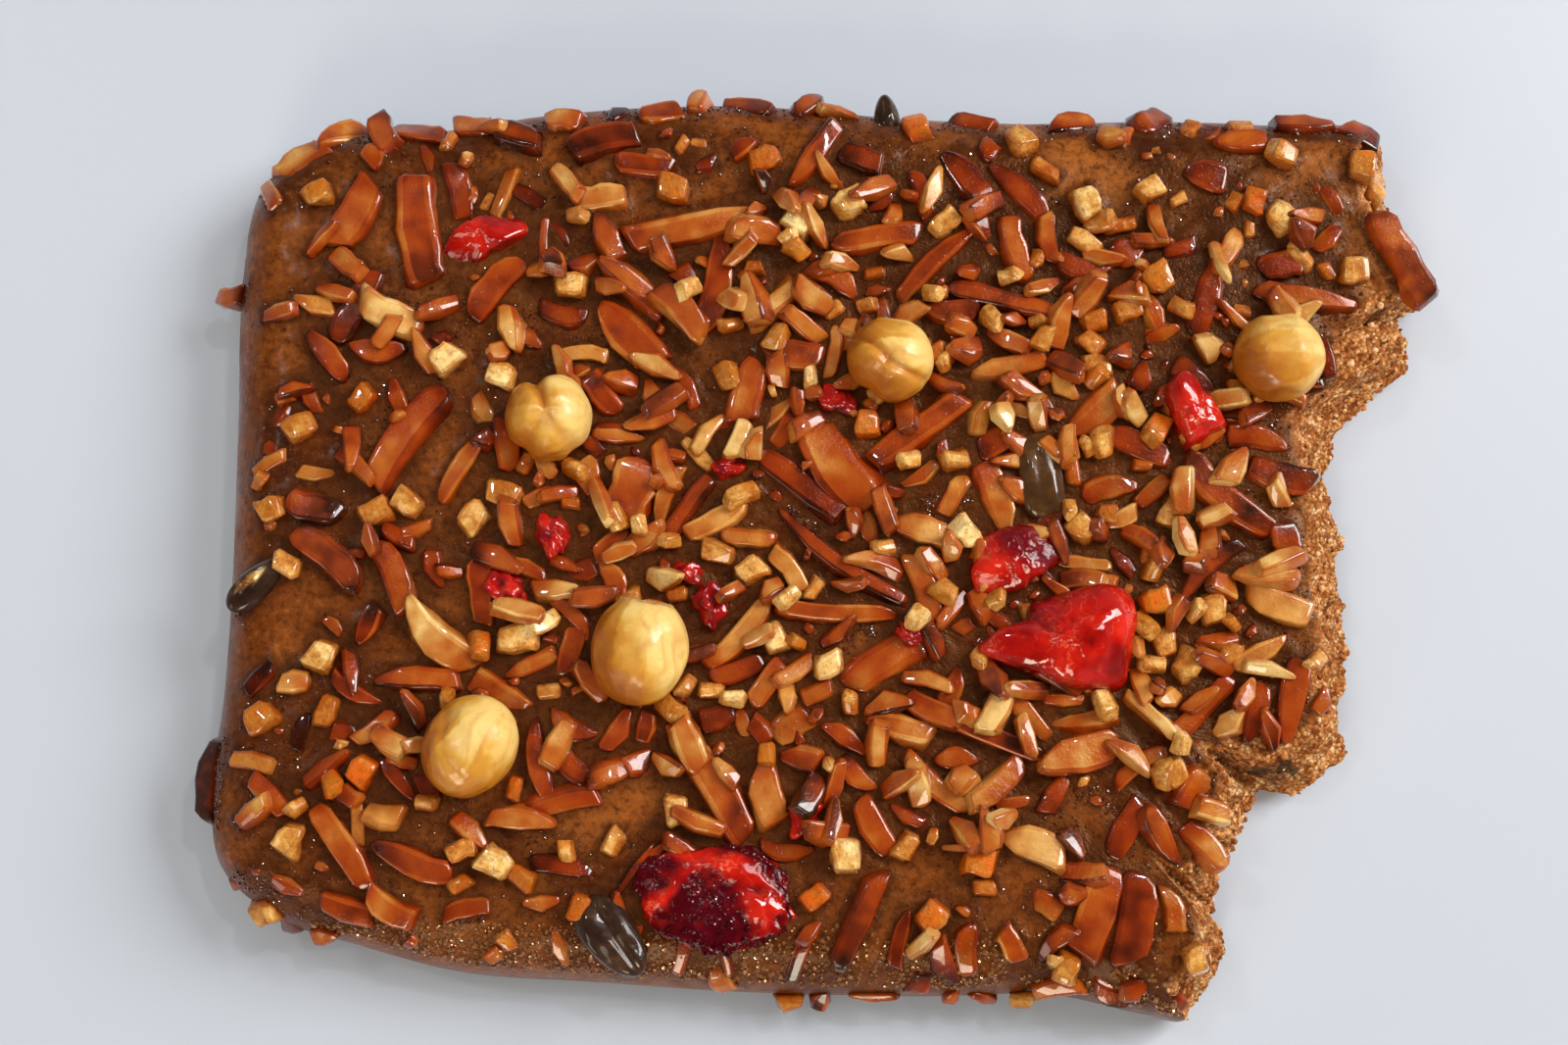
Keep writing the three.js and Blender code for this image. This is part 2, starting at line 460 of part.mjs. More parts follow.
// The dough with the strewn pieces baked onto it, in one body, less the pockets
const strewn = strewnPieces().map((piece) => solidOf(placedGeometry(piece)));
const baked = wasm.Manifold.union([solidOf(doughGeometry()), ...strewn]);
const pocketed = baked.subtract(wasm.Manifold.union(pockets));
const bodies = pocketed.decompose().sort((a, b) => b.volume() - a.volume());
const gingerbread = new THREE.Mesh(geometryOf(bodies[0]), material("dough"));
gingerbread.name = "gingerbread";
slab.add(gingerbread);
slab.position.set(-LAYOUT_MIDDLE[0], -LAYOUT_MIDDLE[1], 0);

export default slab;
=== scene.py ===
import math

import bpy
import numpy as np
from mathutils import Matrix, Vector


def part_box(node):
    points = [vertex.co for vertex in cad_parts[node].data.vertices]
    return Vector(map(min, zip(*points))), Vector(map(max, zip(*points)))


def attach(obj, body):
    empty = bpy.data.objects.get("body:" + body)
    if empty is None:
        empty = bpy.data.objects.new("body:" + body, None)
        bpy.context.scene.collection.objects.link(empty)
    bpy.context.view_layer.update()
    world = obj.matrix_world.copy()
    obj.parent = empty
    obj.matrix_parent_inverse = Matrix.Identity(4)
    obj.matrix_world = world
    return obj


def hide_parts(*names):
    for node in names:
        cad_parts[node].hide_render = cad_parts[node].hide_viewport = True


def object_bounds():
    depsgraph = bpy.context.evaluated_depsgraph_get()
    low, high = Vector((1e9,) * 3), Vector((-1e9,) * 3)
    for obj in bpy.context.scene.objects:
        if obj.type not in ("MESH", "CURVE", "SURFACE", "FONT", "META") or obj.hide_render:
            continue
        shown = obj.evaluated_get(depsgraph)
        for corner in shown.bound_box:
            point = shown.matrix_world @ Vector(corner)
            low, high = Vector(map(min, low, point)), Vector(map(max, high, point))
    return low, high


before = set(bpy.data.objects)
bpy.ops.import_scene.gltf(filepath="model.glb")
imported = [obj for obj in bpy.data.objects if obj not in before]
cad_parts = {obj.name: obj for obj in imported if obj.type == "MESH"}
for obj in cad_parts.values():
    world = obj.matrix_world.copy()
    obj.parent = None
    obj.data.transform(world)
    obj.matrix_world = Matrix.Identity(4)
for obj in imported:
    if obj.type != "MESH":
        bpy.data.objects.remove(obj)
cad_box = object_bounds()

# The dough's outline: a baked edge on three sides and a broken one with two bites on the right.
# The slab was baked flat on a tray, so its base is level and its baked shoulders are rounded.
# Sizes are millimetres of a layout whose middle lies a little beside the frame's.
MM = 0.001
LAYOUT_MIDDLE = np.array([1.3, 2.1, 0.0])
DOUGH_HEIGHT = 15.0
SHOULDER_INSET = 9.0
SHOULDER_DROP = 9.0
BREAK_LEAN = 6.0
BREAK_FOOT = 3.5
LEAST_SLANT = 0.45
BAKED_EDGE = [
    (80.5, 61), (65, 62.5), (48, 63), (30, 62.7), (12, 63.5), (-5, 65), (-22, 65.2), (-38, 64), (-54, 61.5),
    (-70, 60), (-79, 53), (-81.5, 40), (-81.5, 20), (-81.5, 0), (-82, -18), (-83.3, -33), (-81.5, -43),
    (-73, -50), (-62, -53.5), (-48, -57), (-30, -58.3), (-8, -59.7), (14, -60.2), (32, -60), (44, -62.5),
    (50, -63.3),
]
BROKEN_EDGE = [
    (56, -54), (54.6, -48.5), (55.6, -45), (56.4, -41.5), (58.5, -38), (59.6, -34.8), (60.5, -32.8),
    (67.5, -32), (72.6, -28), (73.2, -19.5), (74.2, -11), (73.8, -5), (73.2, 0), (73.6, 4), (72.4, 9),
    (73, 15), (76, 20), (79.5, 23.5), (83.5, 27), (85.2, 31), (84, 34.5), (87.6, 38.4), (86, 43),
    (82.5, 51),
]


def rim(baked_steps, broken_steps):
    """The rim as radius, angle, slant and brokenness: a closed centripetal Catmull-Rom curve through the edge
    points, in equal steps of each stretch. Slant is the cosine between a ray from the middle and the rim's
    normal."""
    knots = np.array(BAKED_EDGE + BROKEN_EDGE, float)
    before, here, after, beyond = (np.roll(knots, shift, axis=0) for shift in (1, 0, -1, -2))
    spans = ((before, here), (here, after), (after, beyond))
    first, middle, last = (np.sum((b - a) ** 2, axis=1)[:, None] ** 0.25 for a, b in spans)
    chord = (after - here) / middle
    leave = middle * ((here - before) / first - (after - before) / (first + middle) + chord)
    arrive = middle * (chord - (beyond - here) / (middle + last) + (beyond - after) / last)
    square = 3 * (after - here) - 2 * leave - arrive
    cube = 2 * (here - after) + leave + arrive
    is_broken = np.arange(len(knots)) >= len(BAKED_EDGE) - 1
    steps = np.where(is_broken, broken_steps, baked_steps)
    stretch = np.repeat(np.arange(len(knots)), steps)
    share = np.concatenate([np.arange(n) / n for n in steps])[:, None]
    point = here[stretch] + share * (leave[stretch] + share * (square[stretch] + share * cube[stretch]))
    along = leave[stretch] + share * (2 * square[stretch] + 3 * share * cube[stretch])
    along /= np.linalg.norm(along, axis=1)[:, None]
    radius = np.hypot(point[:, 0], point[:, 1])
    outward = (along[:, 1] * point[:, 0] - along[:, 0] * point[:, 1]) / radius
    angle = np.arctan2(point[:, 1], point[:, 0])
    return radius, angle, np.maximum(outward, LEAST_SLANT), is_broken[stretch].astype(float)


COARSE_RIM = rim(baked_steps=2, broken_steps=3)


def edge_distance(x, y):
    """Distance in from the rim, square to it, and how far the nearest rim is broken, at any points."""
    radius, angle, slant, broken = COARSE_RIM
    order = np.argsort(angle)
    toward = np.arctan2(y, x)
    radius, slant, broken = (
        np.interp(toward, angle[order], values[order], period=2 * math.pi)
        for values in (radius, slant, broken)
    )
    return (radius - np.hypot(x, y)) * slant, broken


def edge_height(inset, broken):
    """Height of the dough: a quarter ellipse over a baked shoulder, a straight lean up a broken face."""
    out = 1 - np.clip(inset / SHOULDER_INSET, 0, 1)
    baked = DOUGH_HEIGHT - SHOULDER_DROP * (1 - np.sqrt(1 - out * out))
    face = BREAK_FOOT + (DOUGH_HEIGHT - BREAK_FOOT) * np.clip(inset / BREAK_LEAN, 0, 1)
    return baked + (face - baked) * broken


# Where the toppings lie. Almond pieces, diced peel and scraps of cherry were strewn on the wet glaze, the
# large ones first, the smaller ones on and between them. Rows: x, y, turn, length, width, tone. Large
# dice have no turn or size, scraps no tone either. Almonds are pale 0 to dark 4, peel cream 0 to orange 1.
LARGE_ALMONDS = np.array([
    (-72.5, 55.8, 35, 8, 6, 1.5), (-67, 59.6, 20, 9, 5, 1.8), (-56, 59.8, -10, 9, 4, 3),
    (-42, 58.5, -20, 7.5, 5.5, 3.8), (-64, 47, 62, 11, 5.5, 2), (-55, 45, -82, 16, 7, 2.2),
    (-50, 50.5, -75, 9, 4, 2), (-64, 34, 62, 12, 4.5, 3.3), (-58.5, 32.5, -22, 9.5, 5, 0.4),
    (-44.5, 36.5, 50, 11, 4.5, 3), (-67.5, 27, -50, 9, 3.5, 3), (-60.5, 27.5, 0, 8, 4, 3),
    (-82.5, 37, -8, 5.5, 3.5, 3), (-83, -31, 84, 12, 4.2, 3.4), (-29.5, 57.5, 15, 10, 5, 3),
    (-24, 54, -5, 9, 4, 2.8), (-9.5, 64, -15, 8.5, 3.5, 3), (0, 55.5, 58, 12, 4, 2.2),
    (-29.8, 49.2, 5, 7, 4.5, 1.5), (-29.3, 43.5, -65, 8, 4, 2), (-17, 45.5, 15, 20, 5.5, 2),
    (-8.5, 44.5, 0, 8, 4.5, 2), (-14, 37, 80, 15, 4.5, 2.7), (-25.5, 36.5, -35, 12, 4.5, 2.3),
    (-25.5, 30.5, -50, 12, 6.5, 2.4), (-18.5, 33, -45, 10, 4.5, 1.8), (-6, 34, 40, 9, 4.5, 0.4),
    (-3.5, 27, -5, 9.5, 4.5, 2), (8.5, 43.5, 10, 13.5, 4.5, 2.2), (16.5, 40.5, 45, 16, 4, 2),
    (21, 53, -55, 9, 5, 2.8), (29, 50, -47, 13, 4.5, 2), (27.5, 42, -75, 10, 4, 2),
    (26, 35, -15, 17, 3.5, 3), (18, 33, -3, 9, 4, 2.2), (33.5, 31.5, 80, 8, 3.5, 1.8),
    (26.5, 25.5, 12, 11, 4.5, 1.4), (59.5, 57.5, 8, 8, 4, 2), (54.5, 53, -20, 6.5, 5, 2.4),
    (53.5, 35, 75, 12, 5, 2.6), (64.5, 40, 10, 7, 4.5, 3), (67.5, 35, -8, 15, 3.5, 2.2),
    (81, 41, -62, 15, 5.5, 2.6), (-56, 15.5, 55, 17, 6, 2.6), (-49, 11, 60, 10.5, 3.5, 2.2),
    (-68.5, 6, -15, 8.5, 4.5, 2.8), (-66.5, -1, -40, 12.5, 4.5, 2.5), (-57.5, -3.5, -65, 11, 4, 2.5),
    (-45.7, -5.5, -85, 10, 3.5, 2), (-51, -12, -40, 14, 5.5, 1.5), (-54, -17.5, 0, 12, 4, 2.6),
    (-25.5, 8.5, 75, 9, 6.5, 1.8), (-20.5, 7, 70, 10.5, 3, 1.1), (-17.5, 6, 55, 10.5, 3.5, 2.5),
    (-13.5, 4, 30, 10, 3.5, 0.8), (-9.5, 22, 75, 9.5, 5.5, 1.8), (3.5, 11.5, -55, 14, 8, 2.3),
    (-2.5, 9, -38, 15, 4.5, 2.6), (14, 16.5, 36, 16, 5, 2), (2.5, -8.5, -3, 17, 3, 2.3),
    (3, -1.5, -35, 22, 3.5, 3), (14.5, -5.5, -75, 11, 4, 1.3), (14.5, 3, -20, 9, 4.5, 1.1),
    (-10.5, -11.5, 48, 13, 4, 1.5), (9, -15, 32, 13, 6, 2), (24, 7, -75, 11, 5, 1.5),
    (38, 19, 40, 10, 6, 1), (44, 14.5, -25, 10, 3.5, 2), (55.5, 7, -42, 16, 5.5, 2.8),
    (63.5, 10, -15, 10, 4.5, 2.8), (53, -2.5, 42, 12.5, 3.5, 2.5), (62.5, -7, -25, 10, 5, 0.2),
    (64, -20.5, 80, 12, 4, 2.5), (59, -22, 75, 9, 4, 2.8), (52, -21.5, 45, 12, 3.5, 2),
    (45, -22.5, -42, 10, 2.5, 1.1), (-14.5, -31, -56, 19, 6, 2.2), (-6.7, -32.5, -80, 9.5, 5, 1.1),
    (-37.3, -28, -80, 11, 3.5, 2.6), (-35, -34, 15, 12, 3.5, 2.2), (-54, -41.5, -25, 12, 4.5, 2.6),
    (-63.5, -40, -55, 14, 4, 2.4), (-57, -48, -30, 8, 4, 2.2), (7.5, -37, -60, 8.5, 4, 2),
    (5.3, -49.5, 65, 15, 4.5, 2.8), (11, -24, -20, 9.5, 4.5, 1.3), (16, -31.5, -40, 12, 3.5, 1.4),
    (24, -25.5, -22, 14, 3, 2.6), (35, -27.5, 12, 12, 5.5, 1.8), (24, -31.5, 38, 10, 4, 1.5),
    (41, -37.5, 60, 9, 4, 2.6), (45.7, -38.5, -60, 9, 4, 2.5), (29, -39.5, -25, 9.5, 5, 0.7),
    (37, -48.5, 72, 13, 5.5, 2.5), (42.3, -49.5, 80, 13, 6, 2.5), (20, -53.5, 90, 7.5, 4, 1.8),
    (-60.8, 59.5, -65, 7, 4, 2.8), (-48.5, 60.5, -5, 6.5, 4, 2), (-35.5, 61, 0, 6, 4, 1.5),
    (-22, 62.5, 10, 6.5, 4.5, 2.2), (-16.5, 64.5, 70, 5, 4, 2), (-1, 64, 40, 6, 3.5, 3),
    (22, 61.5, -15, 7, 4, 2.8), (36, 61.5, 8, 8, 4.5, 2.4), (47.5, 61.5, 30, 6.5, 5, 3.4),
    (69, 60.5, -5, 9, 4, 2.6), (76.5, 59.5, -25, 7, 4.5, 3), (32, -58.5, 10, 7, 4, 1.4),
    (39.5, -59.3, -20, 6, 4, 2.6), (47, -60.5, -30, 6, 4.5, 2.8),
])
LARGE_DICE = np.array([
    (-51, 26.5, 0.15), (-43.5, 24.3, 0.1), (-2.7, 45.5, 0.25), (4.7, 48.5, 0.3), (14, 60, 0.8),
    (28.5, 58, 0.4), (37.5, 48.5, 0.35), (46.5, 50.5, 0.3), (65, 55.5, 0.5), (76, 54, 0.6),
    (60.8, 49, 0.95), (64.5, 46.5, 0.15), (74.5, 39, 0.5), (-62.5, 21, 0.85), (-60, 5, 0.6),
    (-56, 6.5, 0.4), (7, 17.5, 0.85), (20.3, 2, 0.1), (-5.8, -12, 0.15), (1.5, -15.5, 0.15), (-61, -30, 1),
    (-43, -42, 0.2), (-0.5, -46.5, 0.95), (3.7, -41, 0.15), (15, -49, 0.75), (21.5, -41.7, 0.85),
    (50, -54.7, 0.35), (53.5, -8, 0.4), (45.8, -7, 0.85), (47, -12.5, 0.5), (50, -15.5, 0.4),
    (-75, -23, 0.6), (-67, -14.5, 0.4), (-70.5, -39, 0.3), (-34, 37, 0.3), (36, 3, 0.5), (-69.5, 50, 0.5),
    (33, -56, 0.6), (-20, 50.5, 0.7), (48, -30, 0.4),
])
CHERRY_SCRAPS = np.array([
    (-36, 2), (-17.5, -3), (-14.5, -7.5), (-12, 11.5), (-42, -5.5), (2.5, 21), (-1.5, -36), (12.5, -11.5),
])
SMALL_ALMONDS = np.array([
    (-31.2, 10.6, 60, 4.8, 4, 1.6), (-29.4, 21.6, -55, 7.3, 4.3, 2.4), (-32.5, 27.3, 0, 8, 2.7, 1),
    (-35.2, 32.8, -15, 7.3, 3.7, 2.8), (-28.1, 1, 35, 6.1, 3.3, 1.8), (-27.8, -4, -75, 6.1, 3.7, 2),
    (-1.6, 31, -35, 7.5, 2.9, 1.2), (2.6, 27.4, 80, 8, 2.4, 1.2), (-4.5, 16.6, 60, 5.6, 3.5, 2.3),
    (-18.2, 22.7, -60, 7.5, 2.9, 2.1), (-9.4, 1.7, -5, 8, 3.3, 1.1), (-3.8, -2.6, -55, 7.5, 3.2, 1.2),
    (7.9, -1.7, -15, 8.8, 2.9, 1.4), (7.2, 3, -80, 5.3, 3.5, 1.1), (24.2, 14.9, 30, 5.6, 3.7, 2.1),
    (26.2, 29, -20, 6.7, 2.9, 2.3), (18.8, 7.5, 60, 6.7, 2.9, 1.3), (-23.2, 1.4, 30, 6.7, 4, 2),
    (39.9, 8.8, 15, 8, 4.3, 2), (36.6, -1.7, -8, 7.5, 2.4, 0.2), (51.9, 23.2, -45, 8, 4, 2.7),
    (60.4, 15.1, -10, 8.8, 4.5, 2.3), (63.9, 1.4, -70, 5.3, 4, 1.7), (60.8, -3.6, -5, 9.3, 3.7, 1.2),
    (-60.8, -10.3, 60, 6.1, 3.2, 3.2), (-62.5, -19.2, -35, 8, 3.2, 2.3), (-59.4, -24.2, 35, 7.2, 2.9, 1.2),
    (-56.5, -30.9, -50, 8, 2.7, 2.3), (-33.4, -13.8, 75, 7.5, 3.5, 2.3), (-32.9, -9, -45, 8, 2.9, 2.3),
    (-38.8, -15.4, 25, 8, 2.7, 1.2), (-42.9, -19.7, -30, 9.1, 4.8, 1.5), (-33.2, -24.2, -30, 7.5, 4.3, 1.9),
    (-33.2, -29.3, -50, 6.1, 4.3, 2.2), (-28.1, -29.9, 20, 6.1, 4, 2.3), (-39.6, -36.3, -5, 9.6, 3.3, 1.5),
    (-34.2, -42.3, -8, 8.8, 2.9, 2.4), (-10.8, -16.5, 20, 8, 2.9, 2.1), (-6.8, -18.1, 55, 7.5, 3.7, 1.8),
    (-17.2, -26.4, -65, 7.5, 4.5, 1.9), (-3.8, -23.5, 30, 6.1, 5.1, 1.3), (3.8, -25.2, -35, 7.5, 3.7, 2.3),
    (5.2, -30.5, -45, 6.4, 3.2, 2.4), (-0.9, -32.9, 65, 6.9, 3.7, 2.9), (-4.1, -40.7, -5, 7.7, 3.2, 2.4),
    (18.2, -18.8, 60, 6.1, 4, 2.1), (15.5, -21.7, -25, 8.8, 3.7, 2.1), (18.6, -28.2, 0, 6.1, 3.7, 2),
    (21.2, -22.5, -20, 6.1, 3.3, 1.3), (27.9, -21.9, -55, 9.9, 3.3, 0.9), (35.9, -23.2, 10, 9.3, 3.5, 1.5),
    (43.1, -29.1, 35, 8.8, 2.9, 1.6), (50.2, -32.2, 60, 6.1, 4.3, 1.6), (52.8, -35.2, -15, 5.3, 3.7, 1),
    (51.5, -40, -45, 8.3, 4.3, 2.0), (35.5, -43.4, 0, 6.1, 4, 2.3), (59.9, -14.3, 25, 8.8, 4, 1),
    (-34.8, 51.6, -50, 6.7, 2.9, 1.3), (-64.9, 40, -40, 6.1, 3.2, 1.8), (6.2, 55.2, -20, 6.7, 4.3, 2.8),
    (14.6, 49.9, -75, 7.7, 3.2, 2), (3.2, 37.5, -30, 6.1, 3.7, 2.4), (43.1, 41.8, 40, 4.8, 4.3, 2.3),
    (36.8, 39.1, -15, 8, 3.7, 2.3), (50.6, 42.2, 20, 5.3, 3.7, 2.8), (56.8, 41.8, 60, 7.5, 3.3, 1.6),
    (-46.8, -48.1, 10, 6.7, 3.2, 1.9), (-13.4, -57.5, -50, 5.1, 3.7, 1.6), (11.1, -52, 75, 8.3, 2.9, 2.4),
    (25.8, -52.8, -60, 5.6, 3.5, 1.4), (31.5, -52.4, 38, 6.9, 2.9, 2.5), (30.4, -47.4, -30, 5.1, 3.7, 1.3),
    (47.2, -48, -80, 6.7, 4, 1.4), (13.8, -57.8, 60, 4.5, 4, 2.9),
])
SMALL_DICE = np.array([
    (-70.9, 16.9, 30, 4.5, 4, 0.5), (-74.5, 5.7, 20, 4, 3.7, 0.45), (-46.8, 4.4, 50, 4.5, 3.7, 0.2),
    (-42.8, 7.7, -20, 5.1, 3.7, 0.4), (-16.2, 13.3, -45, 6.1, 2.4, 0.1), (-10.2, 7.5, 25, 5.3, 2.7, 0.45),
    (-13.6, -0.3, -20, 4.8, 3.3, 0.35), (-8.9, -2.9, 30, 4.3, 3.7, 0.3), (43.1, 33.4, 20, 4.5, 3.5, 0.6),
    (38.6, 25.6, -10, 4.5, 3.2, 0.45), (46.4, 16.6, 60, 4.5, 3.5, 0.75), (48.4, 5.2, 60, 4.8, 3.5, 0.3),
    (-66.1, -21.9, 70, 4.5, 3.2, 0.45), (-40.5, -12, 10, 5.9, 4.3, 0.3), (-36.8, -10, 30, 5.1, 2.9, 0.15),
    (-47.6, -40.3, 20, 4.5, 3.2, 0.35), (-7.2, 54.8, 20, 4.8, 3.5, 0.7), (17.9, 45.8, 40, 4.8, 3.5, 0.25),
    (37.2, 43.1, -35, 5.1, 2.9, 0.2), (47.1, 37.8, 30, 4.5, 4.3, 0.6), (78.4, 51.5, 80, 5.1, 3.7, 0.4),
    (-74.9, -48.7, 10, 4.3, 4, 0.4),
])
ALMOND_CHIPS = np.array([
    (-57.7, 21.5, -70, 5.3, 2.7, 3), (-46.1, 19.6, -60, 4.8, 3.7, 1), (-45.2, 15.3, 10, 4.5, 3.7, 2.4),
    (-73.6, 18.5, 60, 4, 2.9, 2.2), (-74.9, 14.2, 0, 2.4, 2.1, 2.8), (-68.5, 10.6, -10, 5.3, 2.7, 1.1),
    (-54.5, 2.8, 20, 4.8, 2.7, 2), (-52.1, -2.6, -80, 5.6, 3.2, 2), (-32.5, 25, 20, 2.7, 2.4, 1.8),
    (-40.1, 29.3, -40, 4.8, 3.7, 2), (-43.6, 27.4, 30, 3.5, 3.2, 1.2), (-31.8, -3, 30, 4, 3.3, 1.8),
    (-51.6, 29.7, -20, 3.2, 2.7, 2.4), (-5.6, 19.3, 50, 6.1, 2.9, 1.1), (-18.8, 17.8, -30, 4.5, 3.5, 0.9),
    (-13.8, 17.4, 0, 4.8, 2.1, 2), (4.2, -4.9, 0, 5.1, 2.1, 2), (3.8, 1.8, 10, 2.9, 2.1, 2),
    (17.5, 13.1, -85, 4.8, 2.4, 2), (9.5, 32.6, -70, 5.1, 2.9, 2.1), (10.6, 7.7, -10, 3.7, 1.9, 2.6),
    (-19.8, 13.1, -10, 4.3, 2.4, 2), (-22.8, 21.6, -70, 4.8, 2.9, 1.1), (-0.9, 21.6, 0, 3.5, 2.4, 1.8),
    (44.8, 24, 60, 4.5, 3.7, 2.3), (41.5, 20.5, -75, 4.3, 2.4, 1.4), (31.2, 20.5, -50, 4.3, 2.9, 1.3),
    (45.9, 8.1, 40, 6.1, 2.7, 1.8), (57.9, 32.1, -42, 7.7, 1.6, 1.1), (69.9, 26.6, -80, 6.1, 2.9, 3.2),
    (-65.6, -10.3, -45, 3.5, 2, 1.3), (-63.8, -24.4, 0, 3.5, 3.2, 2.4), (-55.6, -28.5, -15, 4.3, 2.4, 1.6),
    (-52.2, -32.2, -50, 5.3, 2.7, 2.2), (-75.4, -17.7, 45, 5.3, 3.2, 3.3),
    (-69.6, -24.8, 80, 5.3, 2.7, 3.5), (-10.1, -23.5, -80, 4, 2.1, 1.8), (-12.1, -29.8, -50, 4.8, 2.4, 1.4),
    (-0.2, -27.9, 60, 2.9, 1.6, 2.2), (11.9, -35.9, -25, 5.6, 2.7, 2.5), (19.1, -40, 0, 6.1, 1.3, 2.3),
    (-22.2, -41, 40, 8, 1.6, 2.3), (-0.1, -19.2, 20, 4.8, 3.2, 1.8), (19.9, -10.3, 30, 2.9, 2.7, 1.6),
    (-24.1, -28.9, 20, 4, 3.7, 2.2), (43.8, -18.4, -75, 6.1, 2.9, 0.9), (47.1, -20.1, 30, 4, 3.2, 1.3),
    (33.2, -20.4, 0, 6.1, 2.4, 2), (51.5, -20.1, 40, 5.6, 2.7, 1.9), (34.2, -39.4, -50, 4.8, 2.9, 2.8),
    (68.2, -20.5, 60, 4, 2.7, 1.7), (-40.1, 49.5, -30, 5.3, 2.9, 3.3), (-37.8, 43.1, 90, 7.5, 2, 1.6),
    (-35.4, 44.5, -50, 4.8, 2.4, 2.3), (-68.5, 43.4, 45, 6.7, 1.6, 2.4), (-37.8, 38.7, 0, 4.8, 2.4, 2.5),
    (-32.2, 39.8, 20, 5.1, 3.3, 2.9), (-45.8, 60, 0, 4.8, 1.9, 1.8), (-27.8, 62.5, 40, 4, 3.3, 3.3),
    (-54.5, 55.2, -70, 5.1, 2.7, 2.6), (-28.5, 36.4, -20, 5.3, 2.7, 1.6), (-22.1, 55.5, -20, 4, 2.4, 1.5),
    (-15.2, 54.3, 30, 3.7, 3.5, 2.7), (-10.5, 57, 40, 4.3, 4, 2.7), (-7.2, 51.6, -70, 3.7, 2.4, 3.2),
    (-1.6, 48.9, 60, 5.1, 3.2, 2), (-8.5, 47.6, 20, 3.7, 2.4, 2.5), (22.6, 45.4, -45, 4.8, 3.3, 2.3),
    (10.6, 46.9, 70, 3.7, 2.9, 1.6), (21.2, 38.8, 20, 3.7, 2.7, 2.6), (-9.6, 36.4, 30, 3.7, 2.9, 1.9),
    (-18.5, 38.4, 30, 3.7, 3.7, 2.4), (8.4, 36.1, 0, 3.5, 2, 2.2), (3.1, 62.9, -15, 6.1, 2, 1.2),
    (55.5, 59.3, 50, 3.7, 3.2, 2.6), (67.9, 46.5, 0, 6.1, 2.7, 2.4), (71.8, 49.2, -60, 4.8, 2.7, 2.3),
    (70.8, 43.4, 45, 5.1, 3.2, 2.2), (55.5, 39.8, -75, 6.7, 2.1, 0.7), (59.2, 40, 20, 3.5, 2.1, 1),
    (-70.8, -45, -25, 5.1, 2.9, 2), (-71.8, -50.7, 0, 3.5, 3.2, 2.7), (-66.5, -51.8, 10, 4.3, 3.5, 1.7),
    (-36.8, -47.4, 5, 5.3, 2.7, 1.7), (-24.5, -43, 55, 8.8, 1.3, 2.7), (-26.8, -47.7, -70, 4, 2.7, 2),
    (-78.2, -44.8, 0, 3.5, 2.4, 2.4), (33.8, -46.1, 20, 3.7, 3.5, 2.8), (0.4, -60.6, 70, 3.5, 3.2, 2.9),
    (7.5, -59.8, 0, 6.7, 1.6, 1.6), (18.2, -59.9, 60, 2.7, 2.4, 1.6), (22.6, -60, -15, 4.8, 1.9, 2.3),
    (42.2, -58.9, 20, 4, 3.3, 2),
])
PEEL_BITS = np.array([
    (16.2, 27, 20, 3.5, 3.2, 0.6), (38.4, 31.7, 10, 3.7, 3.5, 0.6), (34.8, 11.1, -80, 4.8, 2.7, 0.7),
    (45.2, -0.2, 80, 3.5, 3.2, 0.5), (-36.2, -19.2, 0, 3.7, 2.7, 0.3), (-27.2, -39.4, 60, 3.7, 3.5, 0.3),
    (55.5, -14.1, 60, 3.5, 3.2, 0.5), (52.4, -12.7, 30, 2.9, 2.1, 0.3), (67.1, -15, 40, 3.2, 2.7, 0.3),
    (-45.8, 48.9, 60, 3.2, 1.9, 0.4), (-16.5, 57.3, 0, 2.7, 1.9, 0.5), (9.8, 56.6, -20, 2.4, 1.3, 0.4),
    (31.9, 53.2, -35, 4.8, 2.9, 0.5), (42.2, 45.6, 15, 4.8, 2.9, 0.6), (43.5, 58.6, 70, 3.5, 2.9, 0.7),
    (52.8, 60, 60, 3.5, 2.9, 0.6), (59.8, 60, 0, 4, 3.2, 0.5), (47.5, 56.2, 0, 1.6, 1.6, 0.3),
    (67.1, 40.8, -50, 4.5, 2.7, 0.3), (22.2, -45.4, 0, 3.5, 2.4, 0.5), (-3.6, -60.8, 10, 3.7, 3.7, 0.6),
    (27.5, -60.3, 0, 3.5, 2.4, 0.5),
])
HAZELNUTS = [(-36.5, 17.5, 40), (10, 25.8, -30), (63, 26.1, 15), (-23.8, -14, 80), (-46.3, -26.7, 60)]
HAZELNUT_SIZES = [
    (12.4, 12.8, 10.5), (12.4, 11.6, 10.5), (13.2, 12.6, 10.5), (15.4, 13.4, 11), (14.2, 12.6, 10.5),
]
CHERRIES = [(27.3, -1.6, 24), (32, -12.3, 12), (-13.8, -46.8, -8), (52, 18.8, 105), (-46, 43.2, 20)]
CHERRY_SIZES = [(15, 9.5, 6.5), (22.5, 15.2, 8.5), (22, 14.8, 5.5), (11.5, 9, 7), (13, 6.5, 4.5)]
PUMPKIN_SEEDS = [(30.4, 10.2, 96), (-27.3, -51.8, -52), (-76, -4.4, 43), (10, 62, 96)]
PUMPKIN_SEED_SIZES = [(12.5, 6.6, 3.6), (13.6, 7.6, 3.8), (11.5, 4.8, 3), (7.5, 4, 3)]
ROUND_PLACES = np.array(HAZELNUTS + CHERRIES + PUMPKIN_SEEDS)
ROUND_SIZES = np.array(HAZELNUT_SIZES + CHERRY_SIZES + PUMPKIN_SEED_SIZES)
SINK = 0.9
OVERHANG_DROP = 3.0
HELD_SHARE = 0.4
MOST_LEAN = 0.6
STREWN_COUNT = 2600
FIELD_LOW = (-78, -56)
FIELD_SIZE = (156, 116)
DENSE_MIDDLE = (16, 6)
